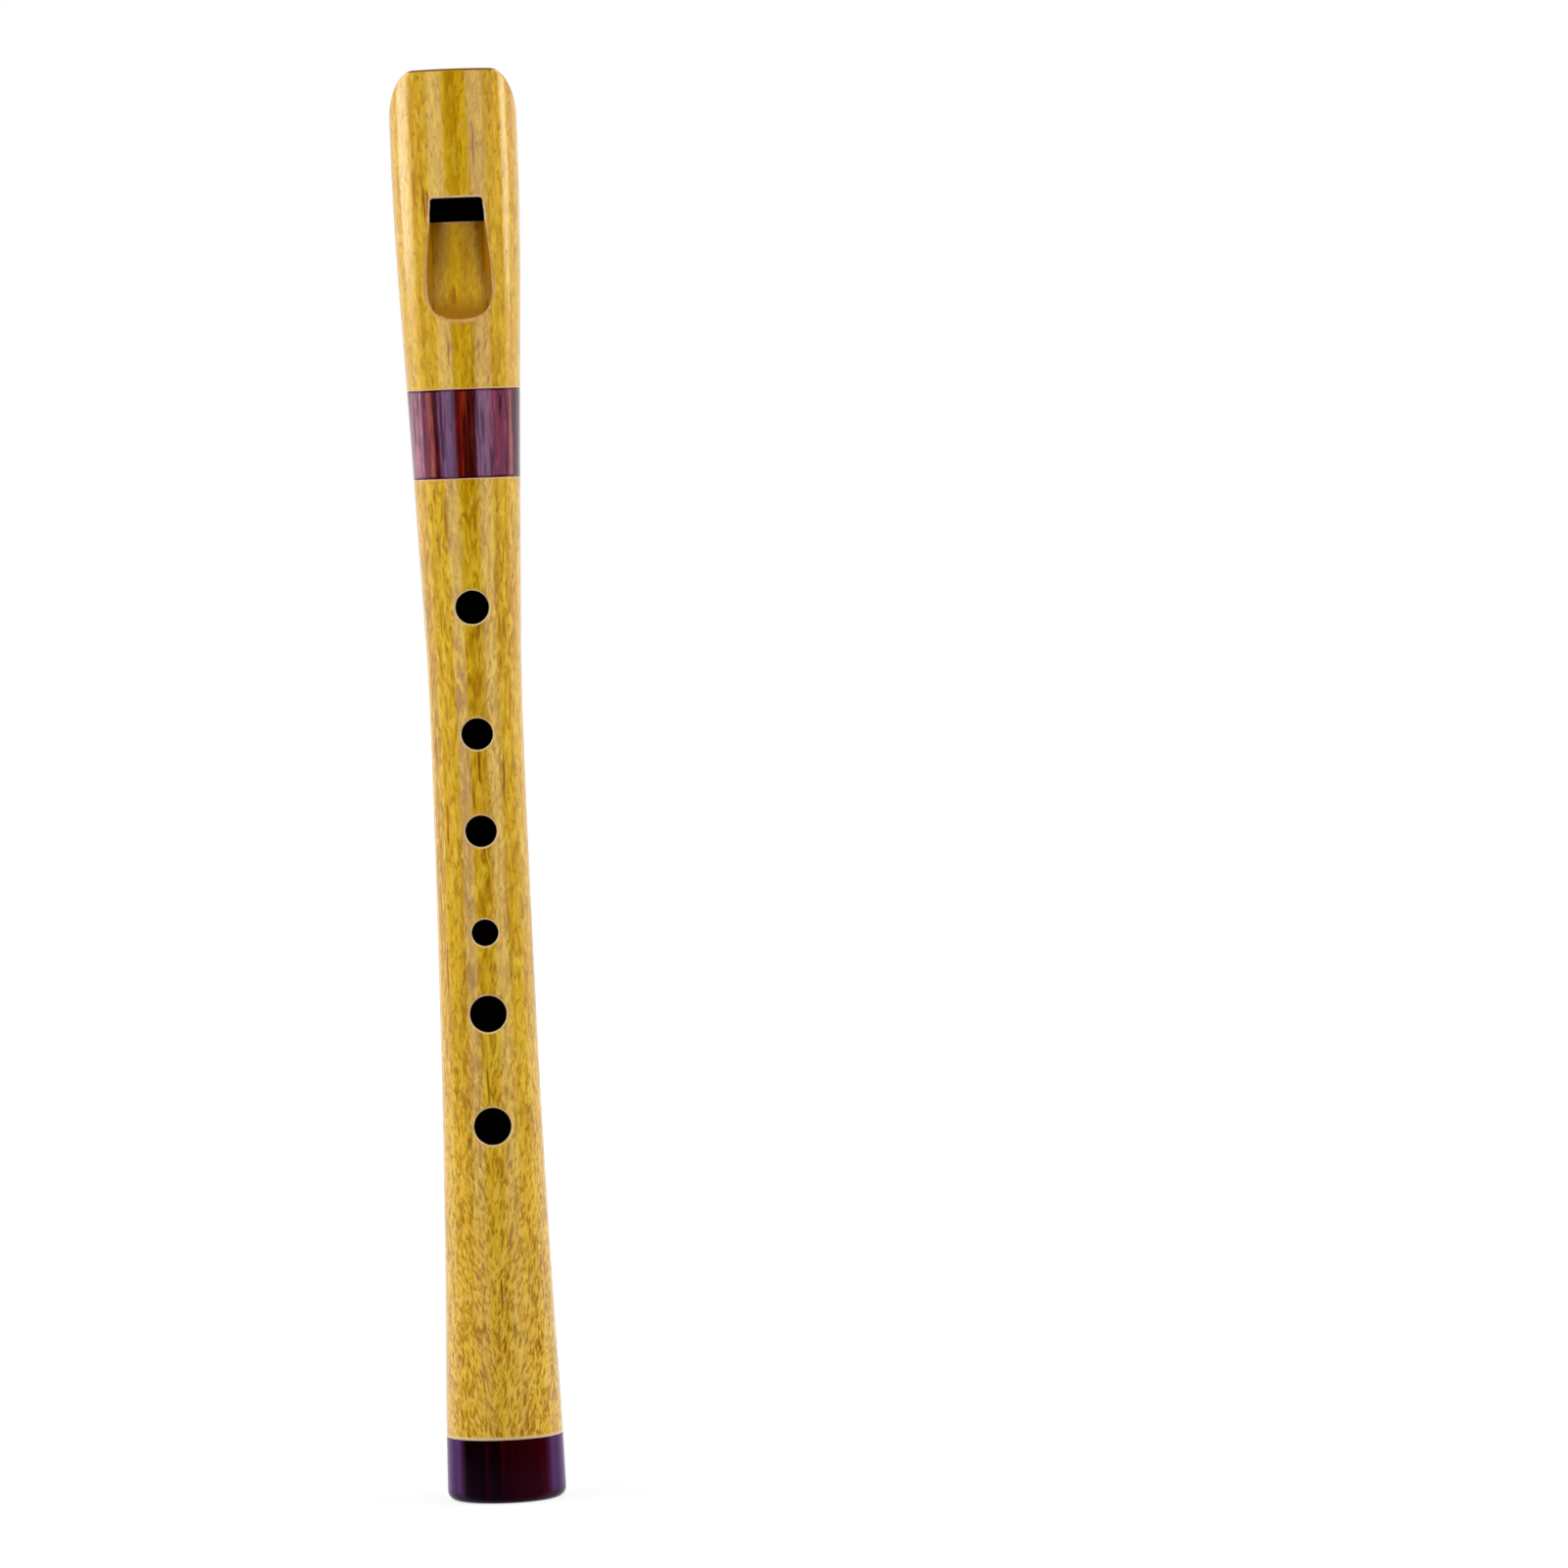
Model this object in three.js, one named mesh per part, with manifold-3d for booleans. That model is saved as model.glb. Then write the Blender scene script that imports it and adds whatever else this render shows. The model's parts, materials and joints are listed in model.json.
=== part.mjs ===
// A six-hole duct flute in turned wood: a beaked head with its block, a dark ring round the joint,
// a waisted body with finger, thumb and vent holes, and a dark ring round the foot.
// Millimetres, +Z up. The foot stands on z = 0, the bore is on the Z axis, and the window and
// the finger holes face -Y.
import * as THREE from "three";
import { mergeVertices } from "three/addons/utils/BufferGeometryUtils.js";
import Module from "manifold-3d";

// Heights of the four stretches that show, from the foot up
const footRingHeight = 15.6;
const bodyHeight = 235;
const socketRingHeight = 21.6;
const headHeight = 77.8;

// Radii of the turned outline, from the foot up
const footRadius = 14.6;
const footSeamRadius = 14.3;
const calfRadius = 12.95;
const shinRadius = 11.9;
const waistRadius = 11.4;
const neckRadius = 13.05;
const collarRadius = 13.85;
const cheekRadius = 15.3;
const headRadius = 15.6;
const tipRadius = 15.5;
// Where the stations between the seams stand, as shares of the body's and the head's height
const calfShare = 0.19;
const shinShare = 0.42;
const waistShare = 0.735;
const cheekShare = 0.49;
const headShare = 0.75;

// Rings: the dark wood that shows, glued over spigots
const footEdgeRadius = 2.4;
const footLipHeight = 4;
const footRingWall = 1.7;
const footMouthChamfer = 0.3;
const socketLipHeight = 5;
const socketRingWall = 0.95;
const socketMouthChamfer = 0.4;
const glueGap = 0.1;
const endGap = 0.3;

// Joint between head and body: tenon, cork and socket
const spigotWall = 1.15;
const tenonLength = 22;
const tenonClearance = 0.25;
const tenonChamfer = 0.5;
const corkClearance = 0.1;
const corkThickness = 1.05;
const corkHeight = 12;
const corkDrop = 4.5;
const tenonCoreWall = 1.35;

// Bore of the body and of the head
const boreFootRadius = 10.4;
const boreWaistRadius = 8.2;
const boreEntryFlare = 0.6;
const boreEntryLength = 5;
const throatLength = 6;
const throatTaperLength = 8;
const chamberRadius = 10.2;
const blockLedge = 0.35;
const blockClearance = 0.12;

// Beak: the concave cut behind the mouth end
const beakTipThickness = 8.2;
const beakDrop = 21.8;
const beakArcRadius = 45.5;
const tipEdgeRadius = 0.9;
const tipCornerAcross = 6.4;
const tipCornerDown = 12;

// Windway, window and ramp
const windwayLength = 31.3;
const windwayEntryWidth = 13.8;
const windwayExitWidth = 12.7;
const windwayEntryHeight = 2;
const windwayExitHeight = 1.3;
const windwayFloorDepth = 0.33;
const windwayFloorChamfer = 0.4;
const windowHeight = 5.7;
const windowCornerRadius = 0.6;
const labiumWidth = 13.4;
const labiumThickness = 0.4;
const rampEndWidth = 16.8;
const rampSlope = THREE.MathUtils.degToRad(3.5);
const rampFlatLength = 19;
const rampFilletRadius = 1.1;
const scoopRadius = 8;
// The arched labium turns into a flat ramp, and the ramp's fillets grow, over these shares of its length
const rampArchShare = 0.6;
const rampFilletShare = 0.25;

// Tone holes: diameters, and heights as shares of the body's height above the foot ring
const hole1Diameter = 8.2;
const hole2Diameter = 7.7;
const hole3Diameter = 7.7;
const hole4Diameter = 6.5;
const hole5Diameter = 9;
const hole6Diameter = 9.1;
const thumbHoleDiameter = 7.8;
const ventDiameter = 9.3;
const hole1Share = 0.866;
const hole2Share = 0.7345;
const hole3Share = 0.6335;
const hole4Share = 0.528;
const hole5Share = 0.4435;
const hole6Share = 0.3265;
const thumbHoleShare = 0.9055;
const ventShare = 0.1265;
const ventSpread = THREE.MathUtils.degToRad(24.2);

// How far a cutter runs past the surface that it cuts
const overrun = 2;

// Facets
const turnSegments = 64;
const outlineSteps = 30;
const edgeSteps = 5;
const holeSegments = 28;
const beakSegments = 180;
const archSteps = 12;
const rampAcrossSteps = 8;
const filletSteps = 3;
const rampAlongSteps = 7;
const scoopSteps = 6;

// Heights of the seams and of the voicing
const footTop = footRingHeight;
const bodyTop = footTop + bodyHeight;
const ringTop = bodyTop + socketRingHeight;
const headTop = ringTop + headHeight;
const windowTop = headTop - windwayLength;
const labiumHeight = windowTop - windowHeight;

// The turned outline goes smoothly through these stations of [height, radius]
const stations = [
  [0, footRadius],
  [footTop, footSeamRadius],
  [footTop + bodyHeight * calfShare, calfRadius],
  [footTop + bodyHeight * shinShare, shinRadius],
  [footTop + bodyHeight * waistShare, waistRadius],
  [bodyTop, neckRadius],
  [ringTop, collarRadius],
  [ringTop + headHeight * cheekShare, cheekRadius],
  [ringTop + headHeight * headShare, headRadius],
  [headTop, tipRadius],
];

// Slope at each station, flat where the outline turns back, so that it never overshoots
const stationSlopes = stations.map(([z, r], i) => {
  const before = stations[Math.max(i - 1, 0)];
  const after = stations[Math.min(i + 1, stations.length - 1)];
  const below = i > 0 ? (r - before[1]) / (z - before[0]) : 0;
  const above = i < stations.length - 1 ? (after[1] - r) / (after[0] - z) : 0;
  if (i === 0) return above;
  if (i === stations.length - 1) return below;
  return below * above <= 0 ? 0 : (2 * below * above) / (below + above);
});

// Radius of the turned outline at a height
function outlineRadius(height) {
  const z = THREE.MathUtils.clamp(height, 0, headTop);
  const i = Math.max(stations.findIndex(([top], k) => k > 0 && z <= top), 1);
  const [z0, r0] = stations[i - 1];
  const [z1, r1] = stations[i];
  const span = z1 - z0;
  const t = (z - z0) / span;
  const rise = t * t * (3 - 2 * t);
  const leave = t * (1 - t) * (1 - t) * span * stationSlopes[i - 1];
  const arrive = t * t * (1 - t) * span * stationSlopes[i];
  return r0 + (r1 - r0) * rise + leave - arrive;
}

// Outline points of [radius, height] between two heights, both ends included
function outlineBetween(low, high) {
  const steps = Math.max(Math.round((outlineSteps * (high - low)) / headTop), 2);
  return Array.from({ length: steps + 1 }, (_, i) => {
    const z = i === steps ? high : low + ((high - low) * i) / steps;
    return [outlineRadius(z), z];
  });
}

// Quarter arc of [radius, height] points about a centre, between two angles
function arcPoints(centre, radius, from, to, steps) {
  return Array.from({ length: steps + 1 }, (_, i) => {
    const angle = from + ((to - from) * i) / steps;
    return [centre[0] + radius * Math.cos(angle), centre[1] + radius * Math.sin(angle)];
  });
}

const wasm = await Module();
wasm.setup();

// A closed three.js geometry as a solid that can be cut and joined
function solidOf(geometry) {
  const loose = geometry.index ? geometry.toNonIndexed() : geometry.clone();
  loose.deleteAttribute("normal");
  loose.deleteAttribute("uv");
  const merged = mergeVertices(loose);
  const corners = [];
  for (let i = 0; i < merged.index.count; i += 3) {
    const [a, b, c] = [0, 1, 2].map((k) => merged.index.getX(i + k));
    if (a !== b && b !== c && c !== a) corners.push(a, b, c);
  }
  return new wasm.Manifold(
    new wasm.Mesh({
      numProp: 3,
      vertProperties: merged.attributes.position.array,
      triVerts: new Uint32Array(corners),
    }),
  );
}

// A finished solid as a named mesh
function meshOf(solid, name, material) {
  const { vertProperties, triVerts } = solid.getMesh();
  const geometry = new THREE.BufferGeometry();
  geometry.setAttribute("position", new THREE.BufferAttribute(vertProperties, 3));
  geometry.setIndex(new THREE.BufferAttribute(triVerts, 1));
  geometry.computeVertexNormals();
  const mesh = new THREE.Mesh(geometry, material);
  mesh.name = name;
  return mesh;
}

// Turns a profile of [radius, height] points about the Z axis
function turned(profile) {
  const points = profile.map(([r, z]) => new THREE.Vector2(r, z));
  return solidOf(new THREE.LatheGeometry(points, turnSegments).rotateX(Math.PI / 2));
}

// Skins a row of rings with the same number of [x, y] points, each ring at its own height
function lofted(rings) {
  const count = rings[0].points.length;
  const positions = rings.flatMap(({ z, points }) => points.flatMap(([x, y]) => [x, y, z]));
  const faces = [];
  for (let i = 0; i + 1 < rings.length; i += 1) {
    for (let j = 0; j < count; j += 1) {
      const next = (j + 1) % count;
      const [a, b] = [i * count + j, i * count + next];
      faces.push(a, b, b + count, a, b + count, a + count);
    }
  }
  const flat = (ring) => ring.points.map(([x, y]) => new THREE.Vector2(x, y));
  const last = (rings.length - 1) * count;
  for (const [a, b, c] of THREE.ShapeUtils.triangulateShape(flat(rings[0]), [])) faces.push(c, b, a);
  for (const [a, b, c] of THREE.ShapeUtils.triangulateShape(flat(rings.at(-1)), [])) {
    faces.push(last + a, last + b, last + c);
  }
  const geometry = new THREE.BufferGeometry();
  geometry.setAttribute("position", new THREE.Float32BufferAttribute(positions, 3));
  geometry.setIndex(faces);
  return solidOf(geometry);
}

// Extrudes a shape drawn in [x, z] towards -Y, between two distances in front of the axis
function extrudedForward(shape, near, far) {
  const geometry = new THREE.ExtrudeGeometry(shape, {
    depth: far - near,
    bevelEnabled: false,
    curveSegments: archSteps,
  });
  return solidOf(geometry.rotateX(Math.PI / 2).translate(0, -near, 0));
}

// Joint radii, each inside the last, from the outline in to the bore
const ringSeatRadius = outlineRadius(bodyTop + socketLipHeight) - socketRingWall;
const spigotRadius = ringSeatRadius - glueGap;
const socketRadius = spigotRadius - spigotWall;
const tenonRadius = socketRadius - tenonClearance;
const corkRadius = socketRadius - corkClearance;
const corkSeatRadius = corkRadius - corkThickness;
const grooveRadius = corkSeatRadius - glueGap;
const boreTopRadius = grooveRadius - tenonCoreWall;
const throatRadius = boreTopRadius + boreEntryFlare;
const tenonTop = bodyTop + tenonLength;
const corkTop = tenonTop - corkDrop;
const corkBottom = corkTop - corkHeight;

// Block and windway radii, from the chamber out to the roof
const blockSeatRadius = chamberRadius + blockLedge;
const blockRadius = blockSeatRadius - blockClearance;
const windwayFloorRadius = blockRadius - windwayFloorDepth;
const labiumRadius = chamberRadius + labiumThickness;

// The beak's arc passes through the tip's back edge and the heel, in [y, z]
function beakCentre() {
  const tip = new THREE.Vector2(beakTipThickness - tipRadius, headTop);
  const heel = new THREE.Vector2(outlineRadius(headTop - beakDrop), headTop - beakDrop);
  const chord = heel.clone().sub(tip);
  const reach = Math.sqrt(beakArcRadius ** 2 - (chord.length() / 2) ** 2);
  const away = new THREE.Vector2(-chord.y, chord.x).normalize();
  return tip.add(heel).multiplyScalar(0.5).addScaledVector(away, reach);
}

// Cylinder across the flute that hollows the back of the beak
function beakCutter() {
  const centre = beakCentre();
  const width = 2 * (headRadius + overrun);
  const drum = new THREE.CylinderGeometry(beakArcRadius, beakArcRadius, width, beakSegments);
  return solidOf(drum.rotateZ(Math.PI / 2).translate(0, centre.x, centre.y));
}

// Outline of the mouth end seen from the front: its upper corners are quarter ellipses
function mouthMask() {
  const side = headRadius + overrun;
  const low = ringTop - socketRingHeight - overrun;
  const spring = headTop - tipCornerDown;
  const flat = headRadius - tipCornerAcross;
  const shape = new THREE.Shape();
  shape.moveTo(-side, low);
  shape.lineTo(side, low);
  shape.lineTo(side, spring);
  shape.lineTo(headRadius, spring);
  shape.absellipse(flat, spring, tipCornerAcross, tipCornerDown, 0, Math.PI / 2, false, 0);
  shape.lineTo(-flat, headTop);
  shape.absellipse(-flat, spring, tipCornerAcross, tipCornerDown, Math.PI / 2, Math.PI, false, 0);
  shape.lineTo(-side, spring);
  shape.closePath();
  return extrudedForward(shape, -side, side);
}

// Ring of points for a windway section: an arch between straight side walls, closed inside the bore
function archRing(z, radius, width, inner) {
  const half = Math.asin(Math.min(width / 2 / radius, 1));
  const arch = Array.from({ length: archSteps + 1 }, (_, i) => {
    const angle = half - (2 * half * i) / archSteps;
    return [radius * Math.sin(angle), -radius * Math.cos(angle)];
  });
  return { z, points: [[width / 2, -inner], ...arch, [-width / 2, -inner]].reverse() };
}

// Room between the block and the head's roof, wider and taller at the mouth end
function windwayCutter() {
  const inner = chamberRadius / 2;
  const exitRoof = windwayFloorRadius + windwayExitHeight;
  const entryRoof = windwayFloorRadius + windwayEntryHeight;
  return lofted([
    archRing(windowTop - windowHeight / 2, exitRoof, windwayExitWidth, inner),
    archRing(windowTop, exitRoof, windwayExitWidth, inner),
    archRing(headTop, entryRoof, windwayEntryWidth, inner),
    archRing(headTop + overrun, entryRoof, windwayEntryWidth, inner),
  ]);
}

// Slot from the bore to the open air between the windway and the labium
function windowCutter() {
  const [top, bottom] = [windwayExitWidth / 2, labiumWidth / 2];
  const corner = windowCornerRadius;
  const shape = new THREE.Shape();
  shape.moveTo(-bottom, labiumHeight);
  shape.lineTo(bottom, labiumHeight);
  shape.lineTo(top, windowTop - corner);
  shape.absarc(top - corner, windowTop - corner, corner, 0, Math.PI / 2);
  shape.lineTo(corner - top, windowTop);
  shape.absarc(corner - top, windowTop - corner, corner, Math.PI / 2, Math.PI);
  shape.closePath();
  return extrudedForward(shape, chamberRadius / 2, headRadius + overrun);
}

// Half width of the ramp at a distance below the labium
function rampHalfWidth(below) {
  const share = THREE.MathUtils.clamp(below / rampFlatLength, 0, 1);
  return (labiumWidth + (rampEndWidth - labiumWidth) * Math.sin((share * Math.PI) / 2)) / 2;
}

// Section of the ramp: an arched floor that flattens, with fillets to its side walls
function rampRing(below, depth) {
  const half = rampHalfWidth(below);
  const share = Math.max(below, 0) / rampFlatLength;
  const arched = (1 - THREE.MathUtils.smoothstep(share, 0, rampArchShare)) * labiumRadius;
  const fillet = rampFilletRadius * THREE.MathUtils.smoothstep(share, 0, rampFilletShare);
  const floorAt = (x) => depth - arched * (1 - Math.sqrt(1 - (x / labiumRadius) ** 2));
  const flatHalf = half - rampFilletRadius;
  const floor = Array.from({ length: rampAcrossSteps + 1 }, (_, i) => {
    const x = flatHalf * ((2 * i) / rampAcrossSteps - 1);
    return [x, -floorAt(x)];
  });
  const side = Array.from({ length: filletSteps }, (_, i) => {
    const angle = (((i + 1) / filletSteps) * Math.PI) / 2;
    const x = flatHalf + rampFilletRadius * Math.sin(angle);
    return [x, -floorAt(x) - fillet * (1 - Math.cos(angle))];
  });
  const mirrored = side.map(([x, y]) => [-x, y]).reverse();
  const front = -(headRadius + 2 * overrun);
  const points = [[-half, front], [half, front], ...side.slice().reverse(), ...floor.slice().reverse()];
  return { z: labiumHeight - below, points: [...points, ...mirrored.slice().reverse()] };
}

// Ramp below the labium: nearly straight, then a scoop that runs out through the front
function rampCutter() {
  const depthAt = (below) => labiumRadius + Math.max(below, 0) * Math.tan(rampSlope);
  const flat = Array.from({ length: rampAlongSteps + 1 }, (_, i) => {
    const below = (rampFlatLength * i) / rampAlongSteps;
    return rampRing(below, depthAt(below));
  });
  const start = depthAt(rampFlatLength);
  const climb = (headRadius + overrun - start) / scoopRadius;
  const steepest = Math.acos(Math.max(Math.cos(rampSlope) - climb, 0));
  const scoop = Array.from({ length: scoopSteps }, (_, i) => {
    const angle = rampSlope + ((steepest - rampSlope) * (i + 1)) / scoopSteps;
    const below = rampFlatLength + scoopRadius * (Math.sin(angle) - Math.sin(rampSlope));
    return rampRing(below, start + scoopRadius * (Math.cos(rampSlope) - Math.cos(angle)));
  });
  const lead = { z: labiumHeight + windowHeight / 2, points: rampRing(0, labiumRadius).points };
  return lofted([lead, ...flat, ...scoop].reverse());
}

// Head: spigot and socket below, chamber, block seat, windway, window and beak above
function makeHead(material) {
  const spigotEnd = bodyTop + socketLipHeight + endGap;
  const tipEdge = [tipRadius - tipEdgeRadius, headTop - tipEdgeRadius];
  const blank = turned([
    [0, spigotEnd],
    [spigotRadius, spigotEnd],
    [spigotRadius, ringTop],
    ...outlineBetween(ringTop, headTop - tipEdgeRadius).slice(0, -1),
    ...arcPoints(tipEdge, tipEdgeRadius, 0, Math.PI / 2, edgeSteps),
    [0, headTop],
  ]);
  const shoulder = tenonTop + endGap;
  const throatTop = shoulder + throatLength;
  const bore = turned([
    [0, spigotEnd - overrun],
    [socketRadius, spigotEnd - overrun],
    [socketRadius, shoulder],
    [throatRadius, shoulder],
    [throatRadius, throatTop],
    [chamberRadius, throatTop + throatTaperLength],
    [chamberRadius, windowTop],
    [blockSeatRadius, windowTop],
    [blockSeatRadius, headTop + overrun],
    [0, headTop + overrun],
  ]);
  const head = blank
    .intersect(mouthMask())
    .subtract(bore)
    .subtract(windwayCutter())
    .subtract(windowCutter())
    .subtract(rampCutter())
    .subtract(beakCutter());
  return meshOf(head, "head_tube", material);
}

// Block: a plug that fills the mouth end, with the windway's floor along its front
function makeBlock(material) {
  const plug = turned([
    [0, windowTop],
    [blockRadius, windowTop],
    [blockRadius, headTop],
    [0, headTop],
  ]);
  const channelFrom = (z, floor, width) => {
    const ring = archRing(z, floor, width, 0);
    const [left, right] = [ring.points[0], ring.points.at(-1)];
    const front = -(blockRadius + overrun);
    const arch = ring.points.slice(1, -1);
    return { z, points: [[left[0], front], [right[0], front], ...arch.slice().reverse()] };
  };
  const chamfered = windwayFloorRadius - windwayFloorChamfer;
  const channel = lofted([
    channelFrom(windowTop - windwayFloorChamfer, chamfered - windwayFloorChamfer, windwayExitWidth),
    channelFrom(windowTop, chamfered, windwayExitWidth),
    channelFrom(windowTop + windwayFloorChamfer, windwayFloorRadius, windwayExitWidth),
    channelFrom(headTop, windwayFloorRadius, windwayEntryWidth),
    channelFrom(headTop + overrun, windwayFloorRadius, windwayEntryWidth),
  ]);
  return meshOf(plug.subtract(channel).subtract(beakCutter()), "block", material);
}

// Ring that shows between head and body: it guards the socket's mouth
function makeSocketRing(material) {
  const lipTop = bodyTop + socketLipHeight;
  const ring = turned([
    [socketRadius + socketMouthChamfer, bodyTop],
    ...outlineBetween(bodyTop, ringTop),
    [ringSeatRadius, ringTop],
    [ringSeatRadius, lipTop],
    [socketRadius, lipTop],
    [socketRadius, bodyTop + socketMouthChamfer],
    [socketRadius + socketMouthChamfer, bodyTop],
  ]);
  return meshOf(ring, "socket_ring", material);
}

const footSeatRadius = outlineRadius(footTop) - footRingWall;
const footSpigotEnd = footLipHeight + endGap;

// A tone hole from the bore outwards, turned from the front by an angle about the axis
function toneHole({ share, diameter, turn }) {
  const reach = footRadius + overrun;
  const drill = new THREE.CylinderGeometry(diameter / 2, diameter / 2, reach, holeSegments);
  drill.translate(0, -reach / 2, 0);
  return solidOf(drill.rotateZ(turn).translate(0, 0, footTop + bodyHeight * share));
}

const toneHoles = [
  { share: hole1Share, diameter: hole1Diameter, turn: 0 },
  { share: hole2Share, diameter: hole2Diameter, turn: 0 },
  { share: hole3Share, diameter: hole3Diameter, turn: 0 },
  { share: hole4Share, diameter: hole4Diameter, turn: 0 },
  { share: hole5Share, diameter: hole5Diameter, turn: 0 },
  { share: hole6Share, diameter: hole6Diameter, turn: 0 },
  { share: thumbHoleShare, diameter: thumbHoleDiameter, turn: Math.PI },
  { share: ventShare, diameter: ventDiameter, turn: Math.PI - ventSpread },
  { share: ventShare, diameter: ventDiameter, turn: Math.PI + ventSpread },
];

// Body: foot spigot, waisted tube with its tone holes, and the tenon with its cork groove
function makeBody(material) {
  const footSpigotRadius = footSeatRadius - glueGap;
  const blank = turned([
    [0, footSpigotEnd],
    [footSpigotRadius, footSpigotEnd],
    [footSpigotRadius, footTop],
    ...outlineBetween(footTop, bodyTop),
    [tenonRadius, bodyTop],
    [tenonRadius, corkBottom],
    [grooveRadius, corkBottom],
    [grooveRadius, corkTop],
    [tenonRadius, corkTop],
    [tenonRadius, tenonTop - tenonChamfer],
    [tenonRadius - tenonChamfer, tenonTop],
    [0, tenonTop],
  ]);
  const bore = turned([
    [0, footSpigotEnd - overrun],
    [boreFootRadius, footSpigotEnd - overrun],
    [boreFootRadius, footSpigotEnd],
    [boreWaistRadius, footTop + bodyHeight * waistShare],
    [boreTopRadius, tenonTop - boreEntryLength],
    [throatRadius, tenonTop],
    [throatRadius, tenonTop + overrun],
    [0, tenonTop + overrun],
  ]);
  const body = toneHoles.reduce((tube, hole) => tube.subtract(toneHole(hole)), blank.subtract(bore));
  return meshOf(body, "body_tube", material);
}

// Cork sleeve in the tenon's groove
function makeCork(material) {
  const [low, high] = [corkBottom + glueGap, corkTop - glueGap];
  const sleeve = turned([
    [corkSeatRadius, low],
    [corkRadius, low],
    [corkRadius, high],
    [corkSeatRadius, high],
    [corkSeatRadius, low],
  ]);
  return meshOf(sleeve, "tenon_cork", material);
}

// Ring at the foot: it caps the body's end and carries the flute when it stands
function makeFootRing(material) {
  const edge = [footRadius - footEdgeRadius, footEdgeRadius];
  const ring = turned([
    [boreFootRadius + footMouthChamfer, 0],
    ...arcPoints(edge, footEdgeRadius, -Math.PI / 2, 0, edgeSteps),
    ...outlineBetween(footEdgeRadius, footTop).slice(1),
    [footSeatRadius, footTop],
    [footSeatRadius, footLipHeight],
    [boreFootRadius, footLipHeight],
    [boreFootRadius, footMouthChamfer],
    [boreFootRadius + footMouthChamfer, 0],
  ]);
  return meshOf(ring, "foot_ring", material);
}

const yellowWood = new THREE.MeshStandardMaterial({ color: 0xc99a2e, roughness: 0.3, metalness: 0 });
const darkWood = new THREE.MeshStandardMaterial({ color: 0x4a1a26, roughness: 0.25, metalness: 0 });
const redWood = new THREE.MeshStandardMaterial({ color: 0x7a2c36, roughness: 0.4, metalness: 0 });
const cork = new THREE.MeshStandardMaterial({ color: 0xb98d5e, roughness: 0.9, metalness: 0 });

const flute = new THREE.Group();
flute.add(
  makeHead(yellowWood),
  makeBlock(redWood),
  makeSocketRing(darkWood),
  makeBody(yellowWood),
  makeCork(cork),
  makeFootRing(darkWood),
);

export default flute;
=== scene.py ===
# %% [markdown]
# A recorder is a tube of turned wood that sounds by itself: the player blows into a slot at the
# top, and a sharp edge in the window splits the air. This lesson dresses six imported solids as
# lacquered golden wood with dark red trim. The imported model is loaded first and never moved,
# because its sizes are the truth that every new piece is fitted to.

import json
import math

import bmesh
import bpy
from mathutils import Matrix, Vector

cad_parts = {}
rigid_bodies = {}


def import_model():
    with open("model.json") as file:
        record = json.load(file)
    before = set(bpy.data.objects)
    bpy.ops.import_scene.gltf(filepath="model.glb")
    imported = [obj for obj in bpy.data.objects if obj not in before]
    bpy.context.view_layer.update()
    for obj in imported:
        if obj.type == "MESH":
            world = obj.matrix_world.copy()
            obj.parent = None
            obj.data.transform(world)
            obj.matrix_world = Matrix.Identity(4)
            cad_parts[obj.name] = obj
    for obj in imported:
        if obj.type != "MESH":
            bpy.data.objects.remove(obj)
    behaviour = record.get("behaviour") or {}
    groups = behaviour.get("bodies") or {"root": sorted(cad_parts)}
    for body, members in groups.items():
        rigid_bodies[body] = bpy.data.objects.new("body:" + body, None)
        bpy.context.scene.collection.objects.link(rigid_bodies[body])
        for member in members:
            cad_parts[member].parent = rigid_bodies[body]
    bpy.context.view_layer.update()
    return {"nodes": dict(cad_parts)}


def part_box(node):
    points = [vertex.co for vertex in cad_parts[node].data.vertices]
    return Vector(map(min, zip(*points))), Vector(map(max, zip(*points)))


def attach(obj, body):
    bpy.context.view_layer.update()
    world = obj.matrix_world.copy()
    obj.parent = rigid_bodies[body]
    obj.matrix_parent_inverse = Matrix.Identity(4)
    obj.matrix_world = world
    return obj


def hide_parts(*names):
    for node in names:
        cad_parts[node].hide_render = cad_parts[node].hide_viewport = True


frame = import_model()
MM = 0.001
print("nodes:", sorted(frame["nodes"]))

# %% [markdown]
# The whole instrument shares one turned outline, and the seams between the woods lie flush in it.
# Ten stations give its radius, and a smooth curve joins them without overshooting. The packed
# solids hold the same outline in coarser rings, so the curve is checked against their vertices
# before anything is built on it.

# %% Outline stations and seams
FOOT_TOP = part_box("foot_ring")[1].z
BODY_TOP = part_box("socket_ring")[0].z
RING_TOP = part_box("socket_ring")[1].z
HEAD_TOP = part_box("head_tube")[1].z
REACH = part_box("head_tube")[1].x
BODY_HEIGHT = BODY_TOP - FOOT_TOP
HEAD_HEIGHT = HEAD_TOP - RING_TOP
WIDEST = 15.6 * MM
TIP_RADIUS = 15.5 * MM

stations = [
    (0.0, 14.6 * MM),
    (FOOT_TOP, 14.3 * MM),
    (FOOT_TOP + BODY_HEIGHT * 0.19, 12.95 * MM),
    (FOOT_TOP + BODY_HEIGHT * 0.42, 11.9 * MM),
    (FOOT_TOP + BODY_HEIGHT * 0.735, 11.4 * MM),
    (BODY_TOP, 13.05 * MM),
    (RING_TOP, 13.85 * MM),
    (RING_TOP + HEAD_HEIGHT * 0.49, 15.3 * MM),
    (RING_TOP + HEAD_HEIGHT * 0.75, WIDEST),
    (HEAD_TOP, TIP_RADIUS),
]
WAIST_Z = min(stations, key=lambda station: station[1])[0]
print("seams at mm:", [round(z / MM, 2) for z in (FOOT_TOP, BODY_TOP, RING_TOP, HEAD_TOP)])


# %% A smooth radius at any height
def grade(i):
    """Slope between a station and the next."""
    (z0, r0), (z1, r1) = stations[i], stations[i + 1]
    return (r1 - r0) / (z1 - z0)


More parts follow.
